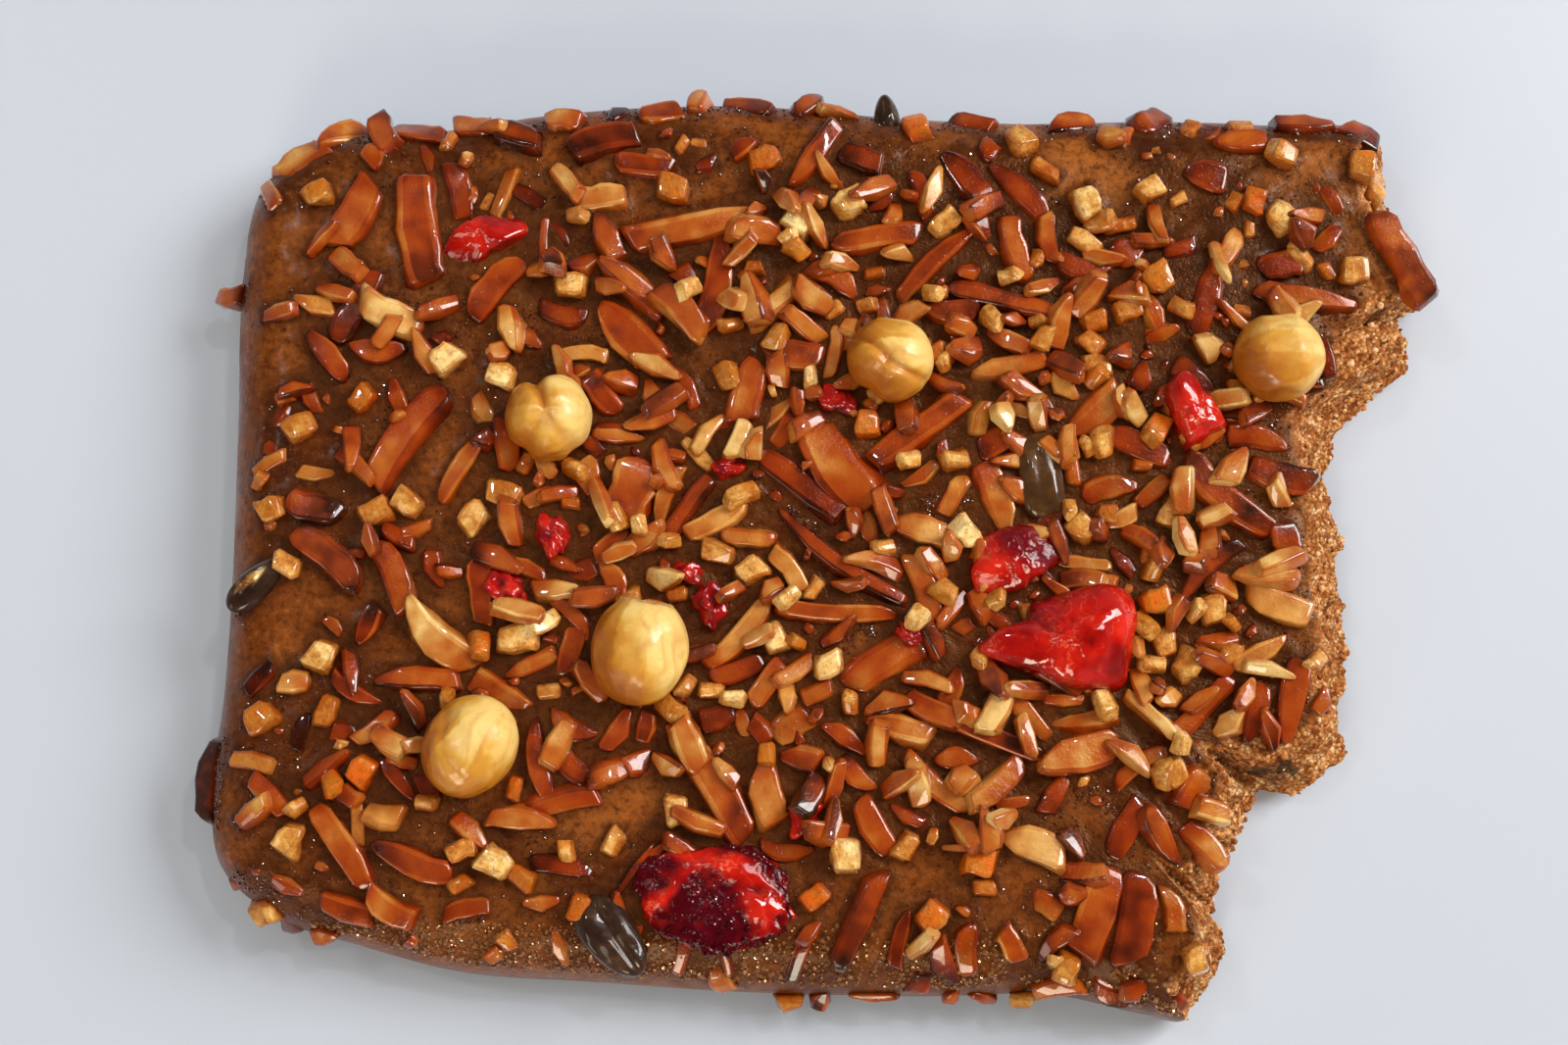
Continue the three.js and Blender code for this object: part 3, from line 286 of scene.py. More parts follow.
DENSE_REACH = (60, 46)
SPARSE_SHARE = 0.2


def draws(seed):
    """Repeatable numbers from 0 to 1, by a linear congruential rule on 32 bits."""
    state = seed
    while True:
        state = (state * 1664525 + 1013904223) % 2**32
        yield state / 2**32


def local_offset(x, y, places, degrees):
    """Points x, y as distances along and across turned places, one row for each point."""
    turn = np.radians(degrees)
    dx = np.atleast_1d(x)[:, None] - places[:, 0]
    dy = np.atleast_1d(y)[:, None] - places[:, 1]
    return dx * np.cos(turn) + dy * np.sin(turn), dy * np.cos(turn) - dx * np.sin(turn)


class Heap:
    """Pieces that have come to rest: columns x, y, z, turn, pitch, roll, length, width, height, form."""

    def __init__(self):
        self.rows = np.zeros((0, 10))
        self.kinds = []

    def tops(self, x, y):
        """Top of each resting piece at each point, minus infinity where the piece isn't."""
        along, across = local_offset(x, y, self.rows[:, :2], np.degrees(self.rows[:, 3]))
        inside = (np.abs(along) <= self.rows[:, 6] / 2) & (np.abs(across) <= self.rows[:, 7] / 2)
        top = self.rows[:, 2] + self.rows[:, 8] / 2 + along * np.tan(self.rows[:, 4])
        return np.where(inside, top, -np.inf)

    def settle(self, kind, x, y, turn, length, width, height, form):
        """Rests a piece on the dough and on the pieces under it, leaning as they make it lean. A piece whose
        middle is on the top lies level out over a broken edge."""
        reach, side = HELD_SHARE * length, HELD_SHARE * width
        along = np.array([0, -reach, reach, 0, 0])
        across = np.array([0, 0, 0, -side, side])
        px = x + along * math.cos(turn) - across * math.sin(turn)
        py = y + along * math.sin(turn) + across * math.cos(turn)
        inset, broken = edge_distance(px, py)
        ground = edge_height(inset, broken)
        if ground[0] > DOUGH_HEIGHT - OVERHANG_DROP:
            ground = np.where(broken > 0.5, DOUGH_HEIGHT, ground)
        ground = np.where(inset < 0, -np.inf, ground)
        held = np.maximum(ground, self.tops(px, py).max(axis=1, initial=-np.inf))
        middle = max(held[0], float(edge_height(inset[0], broken[0])))
        held = np.where(np.isfinite(held), held, middle)
        pitch = np.clip(math.atan2(held[2] - held[1], 2 * reach), -MOST_LEAN, MOST_LEAN)
        roll = np.clip(0.6 * math.atan2(held[4] - held[3], 2 * side), -MOST_LEAN, MOST_LEAN)
        z = max(middle - 0.6, (held[1] + held[2]) / 2) - SINK + height / 2
        self.rows = np.vstack([self.rows, (x, y, z, turn, pitch, roll, length, width, height, form)])
        self.kinds.append(kind)


heap = Heap()
draw = draws(20)


def settle_listed(kind, rows, thinnest=0.0, spread=0.0):
    """Rests the pieces of a list, as high as drawn, or nearly as high as wide where no thickness is given."""
    for x, y, degrees, length, width, _ in rows:
        height = thinnest + spread * next(draw) if thinnest else 0.9 * width
        heap.settle(kind, x, y, math.radians(degrees), length, width, height, next(draw))


settle_listed("almond", LARGE_ALMONDS, thinnest=2.2, spread=1.0)
for kind, places, smallest, spread in (("dice", LARGE_DICE, 3.8, 1.0), ("scrap", CHERRY_SCRAPS, 3.6, 2.0)):
    for place in places:
        length = smallest + spread * next(draw)
        turn = next(draw) * math.pi
        heap.settle(kind, place[0], place[1], turn, length, 0.9 * length, 0.85 * length, next(draw))
settle_listed("almond", SMALL_ALMONDS, thinnest=1.8, spread=0.8)
settle_listed("dice", SMALL_DICE)
settle_listed("chip", ALMOND_CHIPS, thinnest=1.5, spread=0.8)
settle_listed("bit", PEEL_BITS)
for index in range(STREWN_COUNT):
    x = FIELD_LOW[0] + FIELD_SIZE[0] * next(draw)
    y = FIELD_LOW[1] + FIELD_SIZE[1] * next(draw)
    turn, size, form = math.pi * next(draw), next(draw), next(draw)
    inset, broken = edge_distance(x, y)
    is_bare = not np.isfinite(heap.tops(x, y)).any()
    away = np.hypot((x - DENSE_MIDDLE[0]) / DENSE_REACH[0], (y - DENSE_MIDDLE[1]) / DENSE_REACH[1])
    is_dense = away < 1 or next(draw) < SPARSE_SHARE
    if not is_bare or not is_dense or inset < 3 + 6 * broken:
        continue
    if index % 4 == 0:
        heap.settle("crumb", x, y, turn, 1.4 + 1.2 * size, 1 + size, 1.4 + size, form)
    elif index % 4 == 1:
        heap.settle("fleck", x, y, turn, 2.6 + 1.6 * size, 2.2 + 1.4 * size, 2.2 + size, form)
    else:
        heap.settle("splinter", x, y, turn, 4 + 4 * size, 2.2 + 1.8 * form, 1.9 + 0.8 * form, form)
PILE = heap.rows
PILE_KINDS = np.array(heap.kinds)


# The glaze is darker at the toppings' feet and where they heap, partly the syrup and partly painted shade
# between the pieces.
# The dough: brown gingerbread with a thin glaze that pools at the feet of the toppings.
# Its baked skin is pitted and golden at the far right, with painted shade that darkens it at the left and the
# near side.
# The broken face is dry, porous crumb, burnt in one spot. Skin is torn off beside it.
TORN_PATCHES = [(77, 25.5, 8, 8), (61.5, -27.5, 9, 5), (57, -46, 4, 8), (80, 33, 6, 4)]
BURNT_SPOT = (63.3, -29.4, 2.6, 1.7)
WAVE_COUNT = 14
POOL_REACH = 0.8
HEAP_REACH = 3.0


def in_layout(box):
    """Low and high corner of a box of the frame, in millimetres of the layout."""
    return [np.array(corner) / MM + LAYOUT_MIDDLE for corner in box]


def wavy(points, wave, seed):
    """Smooth noise from about -1 to 1: a sum of sine waves of about the given length, seeded."""
    rng = np.random.default_rng(seed)
    direction = rng.normal(size=(WAVE_COUNT, 3))
    pace = rng.uniform(0.7, 1.6, (WAVE_COUNT, 1)) * 2 * math.pi / wave
    direction *= pace / np.linalg.norm(direction, axis=1)[:, None]
    return np.sin(points @ direction.T + rng.uniform(0, 2 * math.pi, WAVE_COUNT)).sum(axis=-1) / 5.0


def grid_faces(rows, columns):
    """Quads of a grid of points that is closed round its columns."""
    row = np.arange(rows - 1)[:, None] * columns
    column = np.arange(columns)[None, :]
    beside = (column + 1) % columns
    corners = [row + column, row + beside, row + columns + beside, row + columns + column]
    return np.stack(corners, axis=-1).reshape(-1, 4)


def capped_faces(rows, columns):
    """Faces of a closed skin: a pole, rings of points, and a pole."""
    ring = np.arange(columns)
    after = (ring + 1) % columns
    last = 1 + (rows - 1) * columns
    faces = (grid_faces(rows, columns) + 1).tolist()
    faces += [(0, 1 + b, 1 + a) for a, b in zip(ring, after)]
    faces += [(last + a, last + b, rows * columns + 1) for a, b in zip(ring, after)]
    return faces


def capped(values):
    """Values on the rings of a closed skin, with the mean of the nearest ring at each pole."""
    return np.concatenate([[values[0].mean()], values.ravel(), [values[-1].mean()]])


def make_piece(name, points, faces, smooth=True):
    """An object at the origin from points in millimetres of the layout, with the given faces."""
    mesh = bpy.data.meshes.new(name)
    mesh.from_pydata((points - LAYOUT_MIDDLE) * MM, [], faces)
    mesh.polygons.foreach_set("use_smooth", np.full(len(mesh.polygons), smooth))
    mesh.update()
    piece = bpy.data.objects.new(name, mesh)
    bpy.context.scene.collection.objects.link(piece)
    return piece


def set_attribute(piece, name, values, domain="POINT"):
    """A named value for the material on each point or face."""
    layer = piece.data.attributes.new(name, "FLOAT", domain)
    layer.data.foreach_set("value", np.ascontiguousarray(values, np.float32).ravel())


def topping_closeness(x, y):
    """Two measures at points of the dough: 1 at a topping's foot, falling to 0 over 2 mm, and how much is
    heaped around, from 0 to 1. Both come from the distances to the turned outlines."""
    closest = np.full(x.shape, 9.0)
    around = np.zeros(x.shape)
    rounds = np.column_stack([ROUND_PLACES[:, :2], np.radians(ROUND_PLACES[:, 2]), ROUND_SIZES[:, :2] * 0.92])
    for px, py, turn, length, width in np.vstack([PILE[:, [0, 1, 3, 6, 7]], rounds]):
        dx, dy = x - px, y - py
        along = np.abs(dx * math.cos(turn) + dy * math.sin(turn)) - length / 2
        across = np.abs(dy * math.cos(turn) - dx * math.sin(turn)) - width / 2
        gap = np.hypot(np.maximum(along, 0), np.maximum(across, 0))
        closest = np.minimum(closest, gap)
        around += np.exp(-((gap / HEAP_REACH) ** 2))
    return np.exp(-((closest / POOL_REACH) ** 2)), np.clip((around - 1.2) / 3.0, 0, 1)


def patch(x, y, place, seed):
    """1 inside an oval place (x, y, reach across, reach up), falling to 0 over its ragged edge."""
    away = np.hypot((x - place[0]) / place[2], (y - place[1]) / place[3])
    flat = np.stack([x, y, np.zeros_like(x)], axis=-1).reshape(-1, 3)
    return np.clip(4 * (1 - away) + 1.6 * wavy(flat, 3.0, seed).reshape(x.shape), 0, 1)


def dough_surface():
    """Rings from the base's middle out over the side, the shoulder or the break, and in to the top's middle.
    Columns run round the rim, rows along the profile. Skin is torn off beside the break."""
    radius, angle, slant, broken = rim(baked_steps=18, broken_steps=15)
    base = np.array([40.0, 12.0, 4.0, 2.4, 1.6])
    side = np.linspace(0, 1, 8)[1:-1]
    shoulder = SHOULDER_INSET * np.linspace(0, 1, 26) ** 1.5
    inner = np.linspace(0, 1, 74)[1:]
    foot = (DOUGH_HEIGHT - SHOULDER_DROP) * (1 - broken) + BREAK_FOOT * broken
    reach = radius - SHOULDER_INSET / slant
    rows = [(radius - inset / slant, np.zeros_like(radius)) for inset in base]
    rows += [(radius - 1.6 * (1 - share) ** 2 / slant, foot * share) for share in side]
    rows += [(radius - inset / slant, edge_height(inset, broken)) for inset in shoulder]
    rows += [(reach * (1 - 0.995 * share), np.full_like(radius, DOUGH_HEIGHT)) for share in inner]
    r = np.array([row[0] for row in rows])
    z = np.array([row[1] for row in rows])
    points = np.stack([r * np.cos(angle), r * np.sin(angle), z], axis=-1)
    on_top = np.clip((z - 4) / 9, 0, 1)
    face = np.zeros(r.shape)
    insets = (radius - r) * slant
    face[len(base):] = (broken * np.clip((BREAK_LEAN + 0.8 - insets) / 1.2, 0, 1))[len(base):]
    torn = np.zeros(r.shape)
    for index, place in enumerate(TORN_PATCHES):
        torn = np.maximum(torn, patch(points[..., 0], points[..., 1], place, 20 + index) * (z > 6))
    face = np.maximum(face, torn)
    off_base = np.clip(z / 2.0, 0, 1)
    flat = points.reshape(-1, 3)
    rough = (0.75 * wavy(flat, 7.0, 1) + 0.5 * wavy(flat, 2.6, 2) + 0.3 * wavy(flat, 1.1, 3)).reshape(r.shape)
    outward = np.stack([np.cos(angle), np.sin(angle), np.zeros_like(angle)], axis=-1)
    points += (rough * face * off_base)[..., None] * outward
    points[..., 2] += (0.4 * rough * face - 0.7 * torn) * off_base
    closeness = topping_closeness(points[..., 0], points[..., 1])
    close, heaped = (measure * on_top * (1 - face) for measure in closeness)
    swell = (0.3 * wavy(flat, 22.0, 4) + 0.1 * wavy(flat, 5.0, 5)).reshape(r.shape)
    points[..., 2] += on_top * (1 - face) * (swell + 0.25 * close)
    return np.clip(points, *in_layout(cad_box)), face, np.maximum(0.7 * close, 0.8 * heaped), z


points, face, close, level = dough_surface()
dough_points = np.vstack([np.zeros((1, 3)), points.reshape(-1, 3), points[-1].mean(axis=0)])
dough = make_piece("dough", dough_points, capped_faces(*face.shape))
x, y = points[..., 0], points[..., 1]
# Painted shade: the dough darkens towards the left and towards the near edge.
painted_shade_left_near = np.maximum(np.clip((-42 - x) / 25, 0, 1), 0.7 * np.clip((-40 - y) / 14, 0, 1))
gilded = np.clip((x + 20) / 50, 0, 1) * np.clip((y - 22) / 20, 0, 1)
# Darkness at the toppings' feet and in heaps: partly syrup, partly painted shade, a little stronger at the
# far right.
pooled_and_shaded = np.clip(close * (1 + 0.15 * gilded), 0, 1)
burnt = patch(x, y, BURNT_SPOT, 30)
dough_marks = {"crumb": face, "level": level / DOUGH_HEIGHT, "painted_shade_left_near": painted_shade_left_near, "gilded": gilded,
               "syrup_pool_and_shade": pooled_and_shaded, "burnt": burnt}
for name, values in dough_marks.items():
    set_attribute(dough, name, capped(values))


def srgb(*colour):
    """A colour given in the screen's 0 to 255 as linear light."""
    shares = [c / 255 for c in colour]
    return tuple(c / 12.92 if c <= 0.04045 else ((c + 0.055) / 1.055) ** 2.4 for c in shares) + (1.0,)


def feed(tree, node, inputs):
    """Gives a node's sockets their values, each a plain value or another node's output."""
    for name, value in inputs.items():
        if isinstance(value, bpy.types.NodeSocket):
            tree.links.new(value, node.inputs[name])
        else:
            node.inputs[name].default_value = value


def add(tree, kind, inputs=None, **settings):
    """One shader node: settings are its properties, inputs its sockets."""
    node = tree.nodes.new(kind)
    for name, value in settings.items():
        setattr(node, name, value)
    feed(tree, node, inputs or {})
    return node


def ramp(tree, value, stops):
    """A colour ramp through the given positions and colours."""
    node = add(tree, "ShaderNodeValToRGB", {"Fac": value})
    elements = node.color_ramp.elements
    while len(elements) < len(stops):
        elements.new(1.0)
    for element, (position, colour) in zip(elements, stops):
        element.position = position
        element.color = colour
    return node.outputs["Color"]


def mix(tree, factor, first, second, blend="MIX"):
    """From the first colour at factor 0 to the second at 1."""
    inputs = {0: factor, 6: first, 7: second}
    return add(tree, "ShaderNodeMix", inputs, data_type="RGBA", blend_type=blend).outputs[2]


def calc(tree, operation, first, second=0.0, clamped=False):
    """One sum of two values, held between 0 and 1 if clamped."""
    inputs = {0: first, 1: second}
    return add(tree, "ShaderNodeMath", inputs, operation=operation, use_clamp=clamped).outputs[0]


def scaled(tree, value, factor):
    """A value times a factor."""
    return calc(tree, "MULTIPLY", value, factor)


def above(tree, value, start, gain):
    """0 up to start, then rising by gain, to 1 at most."""
    return calc(tree, "MULTIPLY", calc(tree, "SUBTRACT", value, start, True), gain, True)


def below(tree, value, start, gain):
    """0 down to start, then rising by gain as the value falls, to 1 at most."""
    return calc(tree, "MULTIPLY", calc(tree, "SUBTRACT", start, value, True), gain, True)


def span(tree, value, low, high, start=0.0):
    """From start at low to 1 at high."""
    inputs = {"Value": value, "From Min": low, "From Max": high, "To Min": start}
    return add(tree, "ShaderNodeMapRange", inputs).outputs["Result"]


def noise(tree, where, scale, detail=3.0, rough=0.55):
    """Smooth noise from 0 to 1, with scale waves to the metre."""
    inputs = {"Vector": where, "Scale": scale, "Detail": detail, "Roughness": rough}
    return add(tree, "ShaderNodeTexNoise", inputs).outputs["Fac"]


def cells(tree, where, scale):
    """Cells, scale to the metre: outputs are the distance to a cell's middle and a colour for each cell."""
    return add(tree, "ShaderNodeTexVoronoi", {"Vector": where, "Scale": scale}).outputs


def attribute(tree, name):
    """A value that the mesh carries."""
    return add(tree, "ShaderNodeAttribute", attribute_name=name).outputs["Fac"]


def new_material(name):
    """A material with its tree, its shader and the place on the object."""
    material = bpy.data.materials.new(name)
    material.use_nodes = True
    tree = material.node_tree
    where = add(tree, "ShaderNodeTexCoord").outputs["Object"]
    return material, tree, tree.nodes["Principled BSDF"], where


# The syrup glaze, as one effect for all that it covers: it lies in wet and dry patches, darkens what stands
# low in it, partly as syrup and partly as painted shade, and its skin is crinkled at about a millimetre,
# which breaks the window's light into sparkles.
syrup = bpy.data.node_groups.new("syrup", "ShaderNodeTree")
for name, way, kind in (("Wet", "INPUT", "NodeSocketFloat"), ("Color", "INPUT", "NodeSocketColor"),
                        ("Coat", "OUTPUT", "NodeSocketFloat"), ("Height", "OUTPUT", "NodeSocketFloat"),
                        ("Color", "OUTPUT", "NodeSocketColor")):
    syrup.interface.new_socket(name=name, in_out=way, socket_type=kind)
syrup_in = add(syrup, "NodeGroupInput").outputs
where = add(syrup, "ShaderNodeTexCoord").outputs["Object"]
patches = noise(syrup, where, 130.0, 4.0)
coat = calc(syrup, "MULTIPLY", span(syrup, patches, 0.36, 0.62), syrup_in["Wet"], True)
height = scaled(syrup, noise(syrup, where, 2600.0, 2.0), 0.35)
height = calc(syrup, "ADD", noise(syrup, where, 900.0, 2.0), height)
height = calc(syrup, "ADD", height, below(syrup, cells(syrup, where, 620.0)["Distance"], 0.2, 3.0))
# Darker the lower a point stands over the dough: partly syrup, partly painted shade low in the heap.
clear = calc(syrup, "ADD", attribute(syrup, "lift"), scaled(syrup, patches, 1.6))
clear = span(syrup, clear, 0.6, 3.4)
syrup_stain_and_shade = ramp(syrup, clear, [(0.0, (0.26, 0.1, 0.04, 1)), (0.5, (0.8, 0.5, 0.26, 1)), (1.0, (1, 1, 1, 1))])
stained_and_shaded = mix(syrup, 1.0, syrup_in["Color"], syrup_stain_and_shade, "MULTIPLY")
add(syrup, "NodeGroupOutput", {"Coat": coat, "Height": height, "Color": stained_and_shaded})


def place_syrup(tree, wet, colour):
    """The syrup over a colour: darkened where the piece stands low in it, partly syrup and partly painted
    shade, with its coat and relief.
    """
    return add(tree, "ShaderNodeGroup", {"Wet": wet, "Color": colour}, node_tree=syrup).outputs


def lift_over_dough(points):
    """Height of points over the dough below them, in millimetres."""
    inset, broken = edge_distance(points[..., 0], points[..., 1])
    return points[..., 2] - edge_height(np.maximum(inset, 0), broken)


def bump(tree, shader, height, distance, strength):
    """Relief of the given height in the shader's normals."""
    inputs = {"Height": height, "Distance": distance, "Strength": strength}
    feed(tree, shader, {"Normal": add(tree, "ShaderNodeBump", inputs).outputs["Normal"]})


def fuse(piece, material):
    """Finishes a piece that stands for a part of the gingerbread solid."""
    piece.data.materials.append(material)
    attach(piece, "root")
    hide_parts("gingerbread")


CRUMB_TONES = [(0.32, srgb(110, 56, 24)), (0.45, srgb(168, 98, 46)), (0.57, srgb(208, 144, 84)),
               (0.7, srgb(240, 204, 152))]
dough_finish, tree, shader, where = new_material("glazed_dough")
crumb = attribute(tree, "crumb")
syrup_pool_and_shade = attribute(tree, "syrup_pool_and_shade")
level_share = attribute(tree, "level")
grain = noise(tree, where, 800.0, 4.0, 0.7)
skin = ramp(tree, noise(tree, where, 90.0, 6.0, 0.62),
            [(0.3, srgb(118, 57, 15)), (0.48, srgb(136, 69, 20)), (0.66, srgb(154, 84, 29))])
# Painted shade at the left and the near side.
skin = mix(tree, scaled(tree, attribute(tree, "painted_shade_left_near"), 0.5), skin, srgb(80, 35, 11))
skin = mix(tree, scaled(tree, attribute(tree, "gilded"), 0.5), skin, srgb(160, 92, 38))
skin = mix(tree, above(tree, grain, 0.47, 4.5), skin, srgb(74, 32, 9))
skin = mix(tree, below(tree, grain, 0.43, 3.5), skin, srgb(176, 104, 48))
pits = below(tree, cells(tree, where, 620.0)["Distance"], 0.3, 3.0)
pitted = calc(tree, "SUBTRACT", 0.3, scaled(tree, attribute(tree, "gilded"), 0.22))
skin = mix(tree, scaled(tree, pits, pitted), skin, srgb(60, 24, 6))
# Dark at the feet of the toppings and where they heap: partly syrup, partly painted shade.
skin = mix(tree, syrup_pool_and_shade, skin, srgb(46, 15, 5))
skin = mix(tree, span(tree, level_share, 0.02, 0.4), srgb(58, 27, 13), skin)
grains = cells(tree, where, 1900.0)
crumb_tone = noise(tree, where, 380.0, 5.0, 0.75)
grain_tone = scaled(tree, calc(tree, "SUBTRACT", grains["Color"], 0.5), 0.32)
crumb_skin = ramp(tree, calc(tree, "ADD", crumb_tone, grain_tone), CRUMB_TONES)
crumb_skin = mix(tree, above(tree, grains["Distance"], 0.4, 1.7), crumb_skin, srgb(96, 46, 16))
crumb_skin = mix(tree, scaled(tree, attribute(tree, "burnt"), 0.9), crumb_skin, srgb(44, 30, 22))
wet = calc(tree, "ADD", 0.3, scaled(tree, calc(tree, "MAXIMUM", syrup_pool_and_shade, attribute(tree, "painted_shade_left_near")), 0.5))
wet = scaled(tree, wet, calc(tree, "SUBTRACT", 1.0, crumb))
wet = scaled(tree, wet, span(tree, level_share, 0.15, 0.6, 0.4))
glaze = place_syrup(tree, wet, skin)
rough = calc(tree, "ADD", 0.42, scaled(tree, crumb, 0.45))
rough = calc(tree, "SUBTRACT", rough, scaled(tree, glaze["Coat"], 0.36))
feed(tree, shader, {
    "Base Color": mix(tree, crumb, skin, crumb_skin), "Roughness": rough, "Specular IOR Level": 0.32,
    "Specular Tint": (1.0, 0.55, 0.25, 1.0), "Coat Weight": scaled(tree, glaze["Coat"], 0.2),
    "Coat Roughness": 0.18,
})
relief = scaled(tree, glaze["Height"], calc(tree, "ADD", 0.6, syrup_pool_and_shade))
relief = calc(tree, "ADD", relief, scaled(tree, noise(tree, where, 2400.0, 2.0), 0.5))
relief = calc(tree, "SUBTRACT", relief, scaled(tree, grain, 1.6))
relief = calc(tree, "SUBTRACT", relief, scaled(tree, pits, 0.35))
pores = calc(tree, "SUBTRACT", scaled(tree, crumb_tone, 5.0), scaled(tree, grains["Distance"], 2.7))
relief = calc(tree, "ADD", relief, scaled(tree, pores, crumb))
bump(tree, shader, relief, distance=0.00013, strength=0.8)
fuse(dough, dough_finish)


# Almond pieces: blanched almonds cut into slivers and chunks, toasted in the oven and candied in the glaze.
# Each is an angular stick with narrow bevels, four uneven sides, slanted cut ends and a slight bow.
SLIVER_STATIONS = (-1, -0.93, -0.75, -0.4, 0, 0.4, 0.75, 0.93, 1)
CHIP_STATIONS = (-1, -0.85, 0, 0.85, 1)
DARKEST_ALMOND = 4


def turned(points, pile):
    """Points of each piece rolled, pitched and turned to where the piece rests."""
    turn, pitch, roll = pile[:, 3, None, None], pile[:, 4, None, None], pile[:, 5, None, None]
    x, y, z = np.moveaxis(points, -1, 0)
    y, z = y * np.cos(roll) - z * np.sin(roll), y * np.sin(roll) + z * np.cos(roll)
    x, z = x * np.cos(pitch) - z * np.sin(pitch), x * np.sin(pitch) + z * np.cos(pitch)
    x, y = x * np.cos(turn) - y * np.sin(turn), x * np.sin(turn) + y * np.cos(turn)
    return np.stack([x, y, z], axis=-1) + pile[:, None, None, :3]


def bevelled_sections(n, bevel, crown, edge_points, rng):
    """Four-sided sections of half size 1, counterclockwise: the upper corners are drawn in by up to crown,
    and each corner is cut by a bevel, given as two or three points."""
    corners = np.array([(1.0, 1.0), (-1.0, 1.0), (-1.0, -1.0), (1.0, -1.0)]) * np.ones((n, 1, 1))
    corners[:, :2, 0] *= rng.uniform(1 - crown, 1.0, (n, 2))
    corners[:, :2, 1] *= rng.uniform(0.62, 1.0, (n, 2))
    back = np.roll(corners, 1, axis=1) - corners
    ahead = np.roll(corners, -1, axis=1) - corners
    back *= bevel / np.linalg.norm(back, axis=-1, keepdims=True)
    ahead *= bevel / np.linalg.norm(ahead, axis=-1, keepdims=True)
    cut = [corners + back, corners + 0.24 * (back + ahead), corners + ahead]
    if edge_points == 2:
        cut = [cut[0], cut[2]]
    return np.stack(cut, axis=2).reshape(n, 4 * edge_points, 2)


def block_surface(pile, stations, edge_points, bevel, crown, cut_share, bow, slant, uneven, seed):
    """Angular sticks: a bevelled section carried along each length. A drawn share of the ends is cut
    straight, the others are rounded or pointed, on one side or both. Sticks follow a drawn bow and twist."""
    rng = np.random.default_rng(seed)
    n = len(pile)
    one_each = (n, 1, 1)
    t = np.array(stations)[None, :, None]
    end = np.abs(t)
    section = bevelled_sections(n, bevel, crown, edge_points, rng)
    length, width, height, form = (pile[:, k, None, None] for k in (6, 7, 8, 9))
    drawn = np.where(t > 0, rng.uniform(0, 1, one_each), rng.uniform(0, 1, one_each))
    cut = 1 - 0.3 * np.where(t > 0, form, 1 - form) * end**2
    rounded = np.sqrt(1 - 0.9 * np.clip((end - 0.55) / 0.45, 0, 1) ** 2)
    pointed = 1 - 0.75 * np.clip((end - 0.15) / 0.85, 0, 1) ** 1.5
    narrow = np.where(drawn < cut_share, cut, np.where(drawn < 0.5 + 0.5 * cut_share, rounded, pointed))
    closing = np.where(end > 0.99, 1 - bevel, 1.0)
    lumps = np.repeat(1 + uneven * rng.uniform(-1, 0.4, (n, len(stations), 4)), edge_points, axis=2)
    y = 0.53 * width * section[:, None, :, 0] * narrow * closing * lumps
    z = 0.5 * height * section[:, None, :, 1] * (0.45 + 0.55 * narrow) * closing * lumps
    twist = rng.uniform(-0.3, 0.3, one_each) * t
    y, z = y * np.cos(twist) - z * np.sin(twist), y * np.sin(twist) + z * np.cos(twist)
    slants = np.where(t > 0, rng.uniform(-slant, slant, one_each), rng.uniform(-slant, slant, one_each))
    x = 0.49 * length * t + slants * end**3 * y - 0.3 * t * end**3 * z
    y = y + bow * length * rng.uniform(-1, 1, one_each) * (t**2 - 0.4)
    y = y + 0.42 * width * rng.choice([-1, 0, 1], one_each) * (1 - narrow) * (1 - cut_share)
    z = z + 0.4 * bow * length * rng.uniform(-0.4, 1, one_each) * (0.4 - t**2)
    points = turned(np.stack([x, y, z], axis=-1), pile)
    shade = 0.14 * end**3 + rng.uniform(-0.14, 0.14, one_each) * t
    return np.clip(points, *in_layout(cad_box)), np.broadcast_to(shade, y.shape)


def block_faces(count, stations, around):
    """Quads round each block, row by row, and one face on each of its ends."""
    one = grid_faces(stations, around)
    first = np.arange(around)[::-1]
    last = np.arange(around) + (stations - 1) * around
    faces = []
    for start in np.arange(count) * stations * around:
        faces += (one + start).tolist()
        faces += [(first + start).tolist(), (last + start).tolist()]
    return faces


def make_blocks(name, pile, tones, stations, edge_points, spread, **form):
    """One piece of many blocks. Each face has a tone: its block's, changed by a draw for each of the block's
    sides by about spread, paler or darker on its bevels, and paler on its ends, where the cut shows."""
    around = 4 * edge_points
    rows = len(stations) - 1
    count = len(pile)
    points, shade = block_surface(pile, stations, edge_points, **form)
    piece = make_piece(name, points.reshape(-1, 3), block_faces(count, rows + 1, around))
    rng = np.random.default_rng(form["seed"] + 100)
    side = np.repeat(rng.uniform(-1.1, 0.9, (count, 4)) * spread, edge_points, axis=1)
    bevels = np.arange(around) % edge_points != edge_points - 1
    side[:, bevels] += rng.choice([-0.8, 0.5, 0.7], (count, 1)) * spread
    ends = rng.uniform(-1.2, -0.2, (count, 2)) * spread
    face_tones = np.concatenate([np.tile(side, (1, rows)), ends], axis=1) + tones[:, None]
    edges = np.tile(np.append(np.tile(bevels, rows), [False, False]), (count, 1))
    set_attribute(piece, "lift", lift_over_dough(points))
    set_attribute(piece, "shade", shade)
    set_attribute(piece, "tone", np.clip(face_tones, 0.02, 0.98), "FACE")
    set_attribute(piece, "edge", edges, "FACE")
    crisp = piece.modifiers.new("flat_sides", "WEIGHTED_NORMAL")
    crisp.mode = "FACE_AREA"
    crisp.weight = 80
    return piece


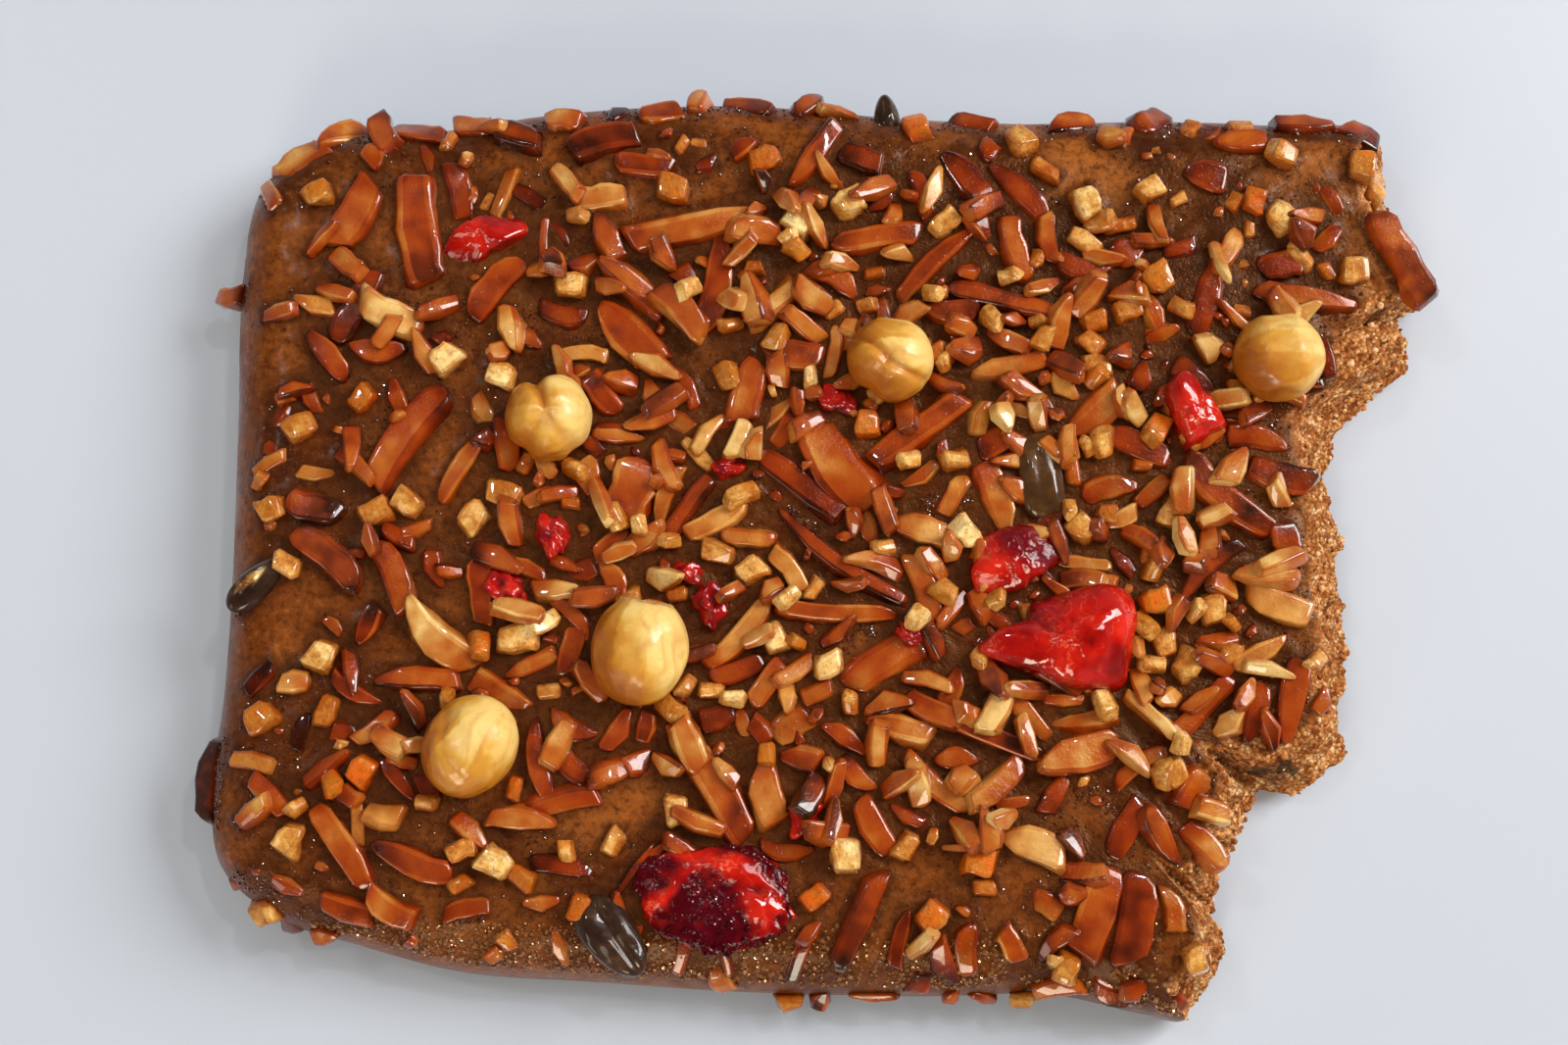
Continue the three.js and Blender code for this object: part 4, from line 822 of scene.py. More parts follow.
rng = np.random.default_rng(7)
almond_pile = PILE[PILE_KINDS == "almond"]
almond_tones = np.concatenate([LARGE_ALMONDS[:, 5], SMALL_ALMONDS[:, 5]]) / DARKEST_ALMOND
almonds = make_blocks("almond_slivers", almond_pile, almond_tones, SLIVER_STATIONS, edge_points=3,
                      spread=0.16, bevel=0.26, crown=0.45, cut_share=0.4, bow=0.08, slant=0.5,
                      uneven=0.16, seed=11)
chip_pile = np.vstack([PILE[PILE_KINDS == kind] for kind in ("chip", "crumb", "splinter")])
strewn_tones = rng.uniform(0.6, 2.9, len(chip_pile) - len(ALMOND_CHIPS))
chip_tones = np.concatenate([ALMOND_CHIPS[:, 5], strewn_tones]) / DARKEST_ALMOND
chips = make_blocks("almond_chips", chip_pile, chip_tones, CHIP_STATIONS, edge_points=2, spread=0.2,
                    bevel=0.25, crown=0.4, cut_share=0.35, bow=0.06, slant=0.6, uneven=0.15, seed=12)
almond_finish, tree, shader, where = new_material("toasted_almond")
toast = scaled(tree, calc(tree, "SUBTRACT", noise(tree, where, 260.0, 1.5), 0.5), 0.9)
tone = calc(tree, "ADD", attribute(tree, "tone"), toast)
tone = calc(tree, "ADD", tone, attribute(tree, "shade"))
nut = ramp(tree, tone, [
    (0.03, srgb(220, 182, 112)), (0.2, srgb(194, 140, 72)), (0.42, srgb(173, 93, 31)),
    (0.6, srgb(156, 69, 22)), (0.78, srgb(116, 47, 19)), (1.0, srgb(56, 25, 15)),
])
fibre = noise(tree, where, 1300.0, 2.0)
nut = mix(tree, above(tree, fibre, 0.54, 1.0), nut, srgb(120, 48, 12))
glaze = place_syrup(tree, 1.8, nut)
feed(tree, shader, {"Base Color": glaze["Color"], "Roughness": 0.2, "Specular IOR Level": 0.15,
                    "Coat Weight": glaze["Coat"], "Coat Roughness": 0.05})
relief = calc(tree, "ADD", glaze["Height"], scaled(tree, fibre, 0.2))
bump(tree, shader, relief, distance=0.00017, strength=0.8)
fuse(almonds, almond_finish)
fuse(chips, almond_finish)


# Candied peel: orange and lemon peel cut into dice, cream to deep orange, soft and translucent.
# The dice are uneven blocks with narrow bevels.
DICE_STATIONS = (-1, -0.85, -0.3, 0.3, 0.85, 1)
BIT_STATIONS = (-1, -0.75, 0.75, 1)
dice_pile = PILE[PILE_KINDS == "dice"]
dice_tones = np.concatenate([LARGE_DICE[:, 2], SMALL_DICE[:, 5]])
dice = make_blocks("peel_dice", dice_pile, dice_tones, DICE_STATIONS, edge_points=3, spread=0.1,
                   bevel=0.28, crown=0.3, cut_share=1.0, bow=0.03, slant=0.3, uneven=0.2, seed=13)
bit_pile = np.vstack([PILE[PILE_KINDS == kind] for kind in ("bit", "fleck")])
bit_tones = np.concatenate([PEEL_BITS[:, 5], rng.uniform(0.2, 0.75, len(bit_pile) - len(PEEL_BITS))])
bits = make_blocks("peel_bits", bit_pile, bit_tones, BIT_STATIONS, edge_points=2, spread=0.1,
                   bevel=0.3, crown=0.5, cut_share=1.0, bow=0.03, slant=0.4, uneven=0.25, seed=14)
peel_finish, tree, shader, where = new_material("candied_peel")
zest = scaled(tree, calc(tree, "SUBTRACT", noise(tree, where, 420.0, 4.0, 0.65), 0.5), 1.3)
peel = ramp(tree, calc(tree, "ADD", attribute(tree, "tone"), zest), [
    (0.05, srgb(244, 214, 144)), (0.24, srgb(224, 176, 98)), (0.42, srgb(198, 138, 60)),
    (0.62, srgb(174, 106, 34)), (0.8, srgb(192, 108, 24)), (1.0, srgb(212, 98, 16)),
])
peel = mix(tree, scaled(tree, attribute(tree, "edge"), 0.4), peel, srgb(166, 92, 26))
grain = noise(tree, where, 1100.0, 3.0, 0.65)
peel = mix(tree, above(tree, grain, 0.5, 3.0), peel, srgb(140, 66, 10))
glaze = place_syrup(tree, 1.4, peel)
feed(tree, shader, {"Base Color": glaze["Color"], "Roughness": 0.2, "Specular IOR Level": 0.15,
                    "Coat Weight": glaze["Coat"], "Coat Roughness": 0.05})
relief = calc(tree, "ADD", glaze["Height"], scaled(tree, grain, 2.0))
bump(tree, shader, relief, distance=0.0002, strength=0.7)
fuse(dice, peel_finish)
fuse(bits, peel_finish)


# Candied cherries: whole and torn cherries boiled in syrup, red, glossy and shrunk into flat planes and
# ridges. One has fallen in like a ring. Scraps of others lie between the almonds.
CHERRY_GRID = (60, 110)
SCRAP_GRID = (18, 30)
DARK_FLESH = 0.6


def globe(rows, columns):
    """Directions over a globe, from its lowest ring to its highest, without the poles."""
    rise = (np.arange(rows) + 0.5) / rows * math.pi - math.pi / 2
    turn = np.arange(columns) / columns * 2 * math.pi
    level = np.cos(rise)[:, None]
    height = np.broadcast_to(np.sin(rise)[:, None], (rows, columns))
    return np.stack([level * np.cos(turn), level * np.sin(turn), height], axis=-1)


def make_round(name, node, shape, marks, material):
    """A closed globe-like piece, scaled into the box of the CAD node that it replaces. Marks are its
    attributes. Gives back its points without the poles."""
    rows, columns = shape.shape[:2]
    points = shape.reshape(-1, 3)
    low, high = in_layout(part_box(node))
    points = low + (points - points.min(axis=0)) / np.ptp(points, axis=0) * (high - low)
    points = np.vstack([points[:columns].mean(axis=0), points, points[-columns:].mean(axis=0)])
    piece = make_piece(name, points, capped_faces(rows, columns))
    for mark, values in marks.items():
        set_attribute(piece, mark, capped(values))
    set_attribute(piece, "lift", lift_over_dough(points))
    piece.data.materials.append(material)
    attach(piece, "root")
    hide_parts(node)
    return points[1:-1]


def turned_round(points, degrees):
    """Points turned about the upright axis."""
    c, s = math.cos(math.radians(degrees)), math.sin(math.radians(degrees))
    return points @ np.array([[c, s, 0], [-s, c, 0], [0, 0, 1]])


def soft_hull(directions, normals, distances, sharpness):
    """How far out the hull of some planes lies in each direction: a power mean, so its ridges are rounded."""
    towards = np.maximum(directions @ np.transpose(normals), 0) / distances
    return np.sum(towards**sharpness, axis=-1) ** (-1 / sharpness)


def notched(directions, notches):
    """Depth of notches down the sides, each given by its direction in degrees, depth and width in degrees."""
    around = np.degrees(np.arctan2(directions[..., 1], directions[..., 0]))
    depth = np.zeros(around.shape)
    for direction, deep, width in notches:
        away = (around - direction + 180) % 360 - 180
        depth += deep * np.exp(-((away / width) ** 2))
    return depth * np.hypot(directions[..., 0], directions[..., 1])


def shrunken_cherry(outline, tops, height, notches, seed):
    """A cherry of flat planes: one outward of each side of its outline, leaning a little, the given top
    planes (slope across, slope up, distance) and a base, with notches and fine wrinkles."""
    outline = np.array(outline, float)
    side = np.roll(outline, -1, axis=0) - outline
    outward = np.column_stack([-side[:, 1], side[:, 0]]) / np.linalg.norm(side, axis=1)[:, None]
    outward *= np.sign(np.sum(outward * outline, axis=1))[:, None]
    normals = [(x, y, 0.12) for x, y in outward] + [(x, y, 1.0) for x, y, _ in tops] + [(0.0, 0.0, -1.0)]
    distances = np.sum(outward * outline, axis=1).tolist() + [d for _, _, d in tops] + [height / 2]
    d = globe(*CHERRY_GRID)
    r = soft_hull(d, np.array(normals), np.array(distances), sharpness=9) * (1 - notched(d, notches))
    wrinkled = 1 + 0.05 * wavy(d, 0.9, seed + 2) + 0.02 * wavy(d, 0.4, seed) + 0.01 * wavy(d, 0.2, seed + 1)
    return d * (r * wrinkled)[..., None]


def fallen_cherry(size, turn, seed):
    """A cherry fallen in: a flat oval with a bar along its far side, an arm at its left and a lobe at its
    right, each a smooth hump, and a sunken middle that opens to the near side."""
    d = globe(*CHERRY_GRID)
    x, y, z = np.moveaxis(d, -1, 0)
    x, y = (v + 0.09 * wavy(d, 0.9, seed + k) for k, v in enumerate((x, y)))
    bar = np.exp(-(((y - 0.6 + 0.3 * x) / 0.17) ** 2) - (x / 0.75) ** 4)
    arm = np.exp(-(((x + 0.7 - 0.35 * y) / 0.15) ** 2) - ((y + 0.05) / 0.6) ** 4)
    lobe = np.exp(-(((x - 0.6) / 0.22) ** 2) - ((y + 0.05) / 0.4) ** 2)
    hump = np.clip(np.maximum(np.maximum(bar, arm), lobe) + 0.16 * wavy(d, 0.3, seed + 3), 0, 1)
    wander = 1 + 0.13 * wavy(d * np.array([1, 1, 0.2]), 1.1, seed + 4) + 0.06 * wavy(d, 0.4, seed + 5)
    z = np.where(z > 0, z * (0.4 + 0.6 * hump), z)
    shape = np.stack([d[..., 0] * wander, d[..., 1] * wander, z], axis=-1) * np.array(size) / 2
    return turned_round(shape, turn), np.clip(1.05 - 1.5 * hump, 0, 1) * (d[..., 2] > 0)


cherry_finish, tree, shader, where = new_material("candied_cherry")
dark_flesh_and_shade_in = attribute(tree, "dark_flesh_and_shade")
depth = noise(tree, where, 170.0, 3.0)
red = ramp(tree, depth, [(0.32, srgb(122, 8, 6)), (0.5, srgb(176, 20, 10)), (0.68, srgb(206, 40, 24))])
wrinkles = calc(tree, "ABSOLUTE", calc(tree, "SUBTRACT", noise(tree, where, 190.0, 4.0, 0.6), 0.5))
wrinkles = scaled(tree, below(tree, wrinkles, 0.012, 90.0), above(tree, depth, 0.44, 6.0))
red = mix(tree, scaled(tree, wrinkles, 0.5), red, srgb(228, 120, 88))
red = mix(tree, dark_flesh_and_shade_in, red, srgb(74, 7, 20))
glaze = place_syrup(tree, 1.8, red)
smooth_skin = calc(tree, "SUBTRACT", 1.0, scaled(tree, dark_flesh_and_shade_in, 0.9))
feed(tree, shader, {"Base Color": glaze["Color"], "Roughness": 0.1, "Specular IOR Level": 0.25,
                    "Coat Weight": scaled(tree, glaze["Coat"], smooth_skin), "Coat Roughness": 0.03})
rippled = scaled(tree, glaze["Height"], calc(tree, "ADD", 0.35, scaled(tree, dark_flesh_and_shade_in, 2.0)))
clusters = scaled(tree, calc(tree, "SUBTRACT", noise(tree, where, 330.0, 2.0), 0.45, True), 16.0)
sparkle = scaled(tree, noise(tree, where, 1500.0, 1.0), scaled(tree, dark_flesh_and_shade_in, clusters))
bump(tree, shader, calc(tree, "ADD", rippled, sparkle), distance=0.0001, strength=0.7)
CHERRY_FORMS = {
    "cherry_1": ([(-6.5, -0.3), (-3.8, 5.0), (2.9, 6.1), (7.9, 3.7), (6.2, -0.3), (0.2, -4.3), (-5.1, -4.7)],
                 [(0.5, 0.3, 3.4), (-0.4, 0.4, 3.6), (-0.1, -0.6, 2.9)], 6.5, [(-40, 0.12, 18)], 30),
    "cherry_2": ([(-11.8, -1.5), (-5.0, 5.0), (4.0, 8.2), (10.2, 7.6), (10.8, 3.5), (7.8, -7.2), (2.8, -7.4)],
                 [(0.5, 0.3, 7.2), (-0.25, -0.3, 3.5), (-0.25, 0.6, 4.2), (0.3, -0.6, 5.4)], 8.5,
                 [(148, 0.2, 12), (-55, 0.06, 20)], 32),
    "cherry_4": ([(-4.5, 3.3), (-2.5, 6.4), (0.2, 5.6), (4.2, -1.4), (-1.2, -5.1)],
                 [(0.45, 0.2, 1.8), (-0.5, -0.2, 2.7), (0.2, -0.7, 2.9)], 7, [(75, 0.2, 16)], 43),
    "cherry_5": ([(-6.5, -3.4), (-4.5, 0.2), (0.2, 2.9), (7.5, 2.2), (8.2, 0.2), (1.5, -4.4), (-3.8, -5.8)],
                 [(0.2, 0.5, 2.3), (-0.2, -0.4, 2.1)], 4.5, [(130, 0.1, 14), (-60, 0.12, 14)], 38),
}
# Each cherry is darker towards one side: the dark flesh of cherry_1, and painted shade on the others, on the
# upper left of cherry_2 and towards the undersides of cherry_4 and cherry_5.
DARK_SIDES = {"cherry_1": (0.6, 0.95, 0.35), "cherry_2": (-0.3, 0.5, -0.3), "cherry_4": (-0.2, 0.5, -0.6),
              "cherry_5": (0, -0.3, -0.5)}
for node, form in CHERRY_FORMS.items():
    dark_flesh_and_shade = np.clip(0.9 * globe(*CHERRY_GRID) @ np.array(DARK_SIDES[node]), 0, 0.8)
    make_round(f"candied_{node}", node, shrunken_cherry(*form), {"dark_flesh_and_shade": dark_flesh_and_shade}, cherry_finish)
shape, dark_flesh_and_shade = fallen_cherry(CHERRY_SIZES[2], CHERRIES[2][2], seed=34)
fallen_points = make_round("candied_cherry_3", "cherry_3", shape, {"dark_flesh_and_shade": dark_flesh_and_shade}, cherry_finish)
dark_flesh = fallen_points[dark_flesh_and_shade.ravel() > DARK_FLESH]
scrap_pile = PILE[PILE_KINDS == "scrap"]
scrap_globe = globe(*SCRAP_GRID)
scrap_points = []
for index, (x, y, z, turn, _, _, length, width, height, _) in enumerate(scrap_pile):
    lumps = 1 + 0.3 * wavy(scrap_globe, 1.4, 80 + index) + 0.16 * wavy(scrap_globe, 0.6, 90 + index)
    half_size = np.array([0.52 * length, 0.42 * width, 0.36 * height])
    shape = turned_round(scrap_globe * lumps[..., None] * half_size, math.degrees(turn))
    scrap_points.append(shape.reshape(-1, 3) + (x, y, z - 0.12 * height))
scrap_points = np.vstack(scrap_points)
scraps = make_piece("cherry_scraps", scrap_points, block_faces(len(scrap_pile), *SCRAP_GRID))
set_attribute(scraps, "lift", lift_over_dough(scrap_points) + 1.0)
set_attribute(scraps, "dark_flesh_and_shade", np.clip(0.25 + 0.5 * wavy(scrap_points, 3.0, 98), 0, 0.8))
fuse(scraps, cherry_finish)


# Their colour is painted paler on the side towards the window and browner away from it: painted light and
# shade.
# Hazelnuts: blanched kernels, cream to golden where toasted, with shallow creases from tip to base.
# They sit in the glaze by about a fifth of their height.
HAZELNUT_GRID = (60, 96)


def hazelnut_shape(size, turn, planes, notches, dimple, cleft, crown, golden, seed):
    """A globe cut by faint flat planes round its length, with notches (direction, depth, width) down its
    sides, a dimple on top, a cleft across it (its normal, its depth, 1 if it ends halfway), and the end of
    its length cut off by crown. Golden is how far it was toasted; it is painted paler towards the window
    and browner away from it, as painted light and shade."""
    rng = np.random.default_rng(seed)
    d = globe(*HAZELNUT_GRID)
    x, y, z = np.moveaxis(d, -1, 0)
    towards = (np.arange(planes) + rng.uniform(-0.3, 0.3, planes)) / planes * 2 * math.pi
    normals = np.column_stack([rng.uniform(-0.2, 0.2, planes), np.cos(towards), np.sin(towards)])
    distances = np.append(np.full(planes, 0.95), [1 - crown, 1.0])
    hull = soft_hull(d, np.vstack([normals, (1, 0, 0.12), (-1, 0, 0)]), distances, sharpness=16)
    facet = rng.uniform(-1, 1, planes)[np.argmax(d @ normals.T, axis=-1)]
    creases = dimple * np.exp(-(((x - 0.06) ** 2 + (y + 0.04) ** 2) / 0.06)) * (z > 0)
    creases = creases + notched(d, notches)
    normal = np.array(cleft[:3]) / np.linalg.norm(cleft[:3])
    across = d @ normal + 0.08 * wavy(d, 1.5, seed + 2)
    reach = np.clip(1 + cleft[4] * (4 * (y * normal[0] - x * normal[1]) - 1), 0, 1)
    creases = creases + cleft[3] * np.exp(-((across / 0.11) ** 2)) * np.clip(z + 0.3, 0, 1) * reach
    stripe = np.sin(13 * np.arctan2(z, y) + 2.5 * wavy(d, 1.0, seed + 1)) * np.sqrt(1 - np.minimum(1, x**2))
    crowned = np.clip((x - 0.72) / 0.15, 0, 1) * (crown > 0.05)
    radius = np.minimum(hull, 1.0) - creases + 0.006 * stripe + 0.012 * wavy(d, 0.8, seed)
    radius = radius + crowned * 0.02 * wavy(d, 0.2, seed + 3)
    # Painted light and shade: paler towards the window, browner away from it.
    toast_and_painted_light = np.clip(golden - 0.6 * turned_round(d, turn) @ np.array([0.75, 0.5, 0.3]) + 0.16 * facet, 0, 1)
    marks = {"crease": np.clip(creases / 0.12, 0, 1), "toast_and_painted_light": toast_and_painted_light, "crown": crowned,
             "stripe": np.clip(stripe, 0, 1) ** 2}
    return turned_round(d * radius[..., None] * np.array(size) / 2, turn), marks


hazel_finish, tree, shader, where = new_material("blanched_hazelnut")
toast = calc(tree, "SUBTRACT", noise(tree, where, 150.0, 3.0, 0.6), 0.5)
kernel = ramp(tree, calc(tree, "ADD", toast, attribute(tree, "toast_and_painted_light")), [
    (0.12, srgb(229, 193, 112)), (0.36, srgb(208, 154, 60)), (0.58, srgb(187, 119, 29)),
    (0.85, srgb(154, 82, 14)),
])
kernel = mix(tree, scaled(tree, attribute(tree, "stripe"), 0.4), kernel, srgb(190, 118, 36))
kernel = mix(tree, attribute(tree, "crown"), kernel, srgb(206, 164, 100))
vein = noise(tree, where, 500.0, 3.0, 0.7)
kernel = mix(tree, above(tree, vein, 0.54, 2.0), kernel, srgb(180, 108, 26))
kernel = mix(tree, scaled(tree, attribute(tree, "crease"), 0.7), kernel, srgb(180, 102, 22))
glaze = place_syrup(tree, 0.7, kernel)
feed(tree, shader, {"Base Color": glaze["Color"], "Roughness": 0.35, "Specular IOR Level": 0.3,
                    "Coat Weight": glaze["Coat"], "Coat Roughness": 0.2})
bump(tree, shader, calc(tree, "ADD", scaled(tree, glaze["Height"], 0.4), vein), distance=0.0002, strength=0.5)
UNCLEFT = (0.0, 0.0, 1.0, 0.0, 0.0)
HAZELNUT_FORMS = [
    (0, 7, [(108, 0.2, 16), (233, 0.14, 18), (-52, 0.09, 16)], 0.09, (0.95, 0.31, 0.0, 0.1, 1.0), 0.0, 0.32),
    (0, 7, [(235, 0.16, 20)], 0.0, (-0.5, -0.7, -0.12, 0.12, 0.0), 0.0, 0.6),
    (15, 9, [(20, 0.03, 20)], 0.0, UNCLEFT, 0.0, 0.55),
    (80, 9, [], 0.0, UNCLEFT, 0.13, 0.52),
    (60, 8, [(-120, 0.04, 25)], 0.0, (0.6, -0.4, 0.3, 0.03, 0.0), 0.0, 0.5),
]
for index, (size, form) in enumerate(zip(HAZELNUT_SIZES, HAZELNUT_FORMS)):
    node = f"hazelnut_{index + 1}"
    shape, marks = hazelnut_shape(size, *form, seed=50 + index)
    make_round(f"kernel_{node}", node, shape, marks, hazel_finish)


# Pumpkin seeds: hulled, roasted dark and glazed, flat ovals with fine ridges along them. One is blunt and
# olive, one is split along its length, one is torn.
SEED_GRID = (40, 80)


def pumpkin_seed_shape(size, turn, blunt, cleft, torn, seed):
    """A flat oval that narrows to one end, or has square ends if blunt, with a wavy top and a valley along it
    as deep as cleft. A torn one has a ragged hollow in its upper side, where the pale flesh shows."""
    d = globe(*SEED_GRID)
    x, y, z = np.moveaxis(d, -1, 0)
    ragged = 1.6 - 3.2 * np.hypot(x + 0.1, (y - 0.35) / 0.9) + 0.35 * wavy(d, 0.45, seed + 2)
    hollow = torn * np.clip(ragged, 0, 1) * (z > 0)
    ridge = 1 + 0.02 * np.sin(9 * y + wavy(d, 1.0, seed)) + 0.12 * wavy(d, 1.0, seed + 1) - 0.35 * hollow
    ridge = ridge - cleft * np.exp(-(((y - 0.1 + 0.1 * x) / 0.2) ** 2))
    square = (np.hypot(x, y) / (x**4 + y**4 + 1e-12) ** 0.25) ** blunt
    narrow = 1 - 0.22 * (1 - blunt) * x
    top = z * ridge + 0.2 * hollow * wavy(d, 0.25, seed + 3)
    shape = np.stack([x * square, y * square * narrow, top], axis=-1)
    return turned_round(shape * np.array(size) / 2, turn), hollow


seed_finish, tree, shader, where = new_material("roasted_pumpkin_seed")
streak = noise(tree, where, 320.0, 3.0, 0.6)
hull = ramp(tree, streak, [(0.3, srgb(32, 18, 11)), (0.55, srgb(52, 32, 22)), (0.75, srgb(82, 56, 40))])
olive = ramp(tree, streak, [(0.3, srgb(56, 32, 11)), (0.55, srgb(76, 47, 18)), (0.75, srgb(98, 66, 32))])
flesh = ramp(tree, streak, [
    (0.35, srgb(120, 72, 26)), (0.5, srgb(196, 146, 72)), (0.65, srgb(236, 206, 140)),
])
hull = mix(tree, attribute(tree, "olive"), hull, olive)
hull = mix(tree, attribute(tree, "torn"), hull, flesh)
glaze = place_syrup(tree, 1.4, hull)
feed(tree, shader, {"Base Color": hull, "Roughness": 0.3, "Specular IOR Level": 0.15,
                    "Coat Weight": glaze["Coat"], "Coat Roughness": 0.06})
bump(tree, shader, calc(tree, "ADD", glaze["Height"], streak), distance=0.00014, strength=0.6)
SEED_FORMS = [(0.8, 0.12, 0.0), (0.15, 0.4, 0.0), (0.0, 0.0, 1.0), (0.0, 0.15, 0.0)]
SEED_GREENS = [0.8, 0.05, 0.0, 0.2]
for index, (place, size, form) in enumerate(zip(PUMPKIN_SEEDS, PUMPKIN_SEED_SIZES, SEED_FORMS)):
    node = f"pumpkin_seed_{index + 1}"
    shape, hollow = pumpkin_seed_shape(size, place[2], *form, seed=70 + index)
    marks = {"torn": hollow, "olive": np.full_like(hollow, SEED_GREENS[index])}
    make_round(f"roasted_{node}", node, shape, marks, seed_finish)


# Drops of syrup that boiled up at the feet of the toppings, on the near shoulder and on the dark flesh of the
# fallen cherry, and set hard. Each is a lump of a few flat faces, which throw back the window as single
# sparkles. Those on the shoulder are larger and gleam golden.
DROP_GRID = (3, 6)
NEAR_SIDE = -50
FEET_DROPS = 2800
SHOULDER_DROPS = 1200
FLESH_DROPS = 260


def strewn_on_dough(mask, count):
    """Places drawn on the dough's faces, of those whose first corner lies in the mask."""
    row, column = rng.permutation(np.argwhere(mask[:-1]))[:count].T
    along, across = rng.uniform(0, 1, (2, len(row), 1))
    beside = (column + 1) % mask.shape[1]
    lower = points[row, column] * (1 - across) + points[row, beside] * across
    upper = points[row + 1, column] * (1 - across) + points[row + 1, beside] * across
    return lower * (1 - along) + upper * along


def drawn_lumps(sizes, grid, least, most):
    """A lump of each size: a coarse globe, each of its points drawn in to the least or out to the most."""
    return globe(*grid) * rng.uniform(least, most, (len(sizes), *grid, 1)) * sizes[:, None, None, None]


rng = np.random.default_rng(41)
at_feet = (close > 0.5) & (close < 0.69) & (face < 0.1) & (level > 10)
on_shoulder = (points[..., 1] < NEAR_SIDE) & (points[..., 0] < 25) & (face < 0.1)
on_shoulder &= (level > 11) & (level < 14.9)
on_flesh = rng.permutation(dark_flesh)[:FLESH_DROPS]
feet_places = strewn_on_dough(at_feet, FEET_DROPS)
drop_places = np.vstack([feet_places, strewn_on_dough(on_shoulder, SHOULDER_DROPS), on_flesh])
drop_count = len(drop_places)
is_near = drop_places[:, 1] < NEAR_SIDE
is_on_flesh = np.arange(drop_count) >= drop_count - len(on_flesh)
drop_size = 0.14 + 0.2 * rng.uniform(0, 1, drop_count) ** 2
drop_size = np.where(is_near, 1.4 * drop_size, drop_size)
drop_points = drawn_lumps(drop_size, DROP_GRID, least=0.7, most=1.3) + drop_places[:, None, None, :]
drop_faces = block_faces(drop_count, *DROP_GRID)
drops = make_piece("syrup_drops", drop_points.reshape(-1, 3), drop_faces, smooth=False)
set_attribute(drops, "golden", np.repeat(is_near, math.prod(DROP_GRID)))
set_attribute(drops, "red", np.repeat(is_on_flesh, math.prod(DROP_GRID)))
drop_finish, tree, shader, where = new_material("set_syrup")
golden = attribute(tree, "golden")
amber = ramp(tree, noise(tree, where, 300.0), [(0.35, srgb(60, 23, 8)), (0.65, srgb(104, 48, 16))])
amber = mix(tree, golden, amber, srgb(156, 104, 60))
amber = mix(tree, attribute(tree, "red"), amber, srgb(84, 8, 18))
feed(tree, shader, {"Base Color": amber, "Metallic": scaled(tree, golden, 0.5), "Roughness": 0.1,
                    "Specular IOR Level": 1.0, "Coat Weight": calc(tree, "SUBTRACT", 1.0, golden),
                    "Coat Roughness": 0.05})
fuse(drops, drop_finish)


# Crumbs that hang on the break: dry grains of the dough, half sunk in its broken face.
# Each is a lump of a few faces.
CRUMB_GRID = (5, 7)
CRUMB_COUNT = 800
rng = np.random.default_rng(40)
on_break = points[(face > 0.6) & (points[..., 2] > 1.5)]
crumb_size = 0.2 + 0.5 * rng.uniform(0, 1, CRUMB_COUNT) ** 3
crumb_lumps = drawn_lumps(crumb_size, CRUMB_GRID, least=0.65, most=1.25)
crumb_points = crumb_lumps + rng.permutation(on_break)[:CRUMB_COUNT, None, None, :]
crumb_points = np.clip(crumb_points, *in_layout(cad_box)).reshape(-1, 3)
crumbs = make_piece("loose_crumbs", crumb_points, block_faces(CRUMB_COUNT, *CRUMB_GRID))
crumb_tones = rng.uniform(-0.14, 0.16, CRUMB_COUNT)
set_attribute(crumbs, "tone", np.repeat(crumb_tones, math.prod(CRUMB_GRID)))
crumb_finish, tree, shader, where = new_material("dry_crumb")
fine = noise(tree, where, 900.0, 4.0, 0.7)
crumb_skin = ramp(tree, calc(tree, "ADD", fine, attribute(tree, "tone")), CRUMB_TONES)
feed(tree, shader, {"Base Color": crumb_skin, "Roughness": 0.85, "Specular IOR Level": 0.2})
bump(tree, shader, fine, distance=0.0003, strength=0.8)
fuse(crumbs, crumb_finish)


# The setting: a plain pale floor, daylight from a large window at the far right, a soft fill from the
# ceiling, and small lamps at the left and the near side for the sparkles. All of them face the slab.
FLOOR_REACH = 12
corners = [(-FLOOR_REACH, -FLOOR_REACH, 0), (FLOOR_REACH, -FLOOR_REACH, 0), (FLOOR_REACH, FLOOR_REACH, 0),
           (-FLOOR_REACH, FLOOR_REACH, 0)]
floor_mesh = bpy.data.meshes.new("floor")
floor_mesh.from_pydata(corners, [], [(0, 1, 2, 3)])
floor = bpy.data.objects.new("floor", floor_mesh)
bpy.context.scene.collection.objects.link(floor)
floor_finish, tree, shader, _ = new_material("pale_floor")
feed(tree, shader, {"Base Color": srgb(186, 193, 204), "Roughness": 0.4})
floor_mesh.materials.append(floor_finish)


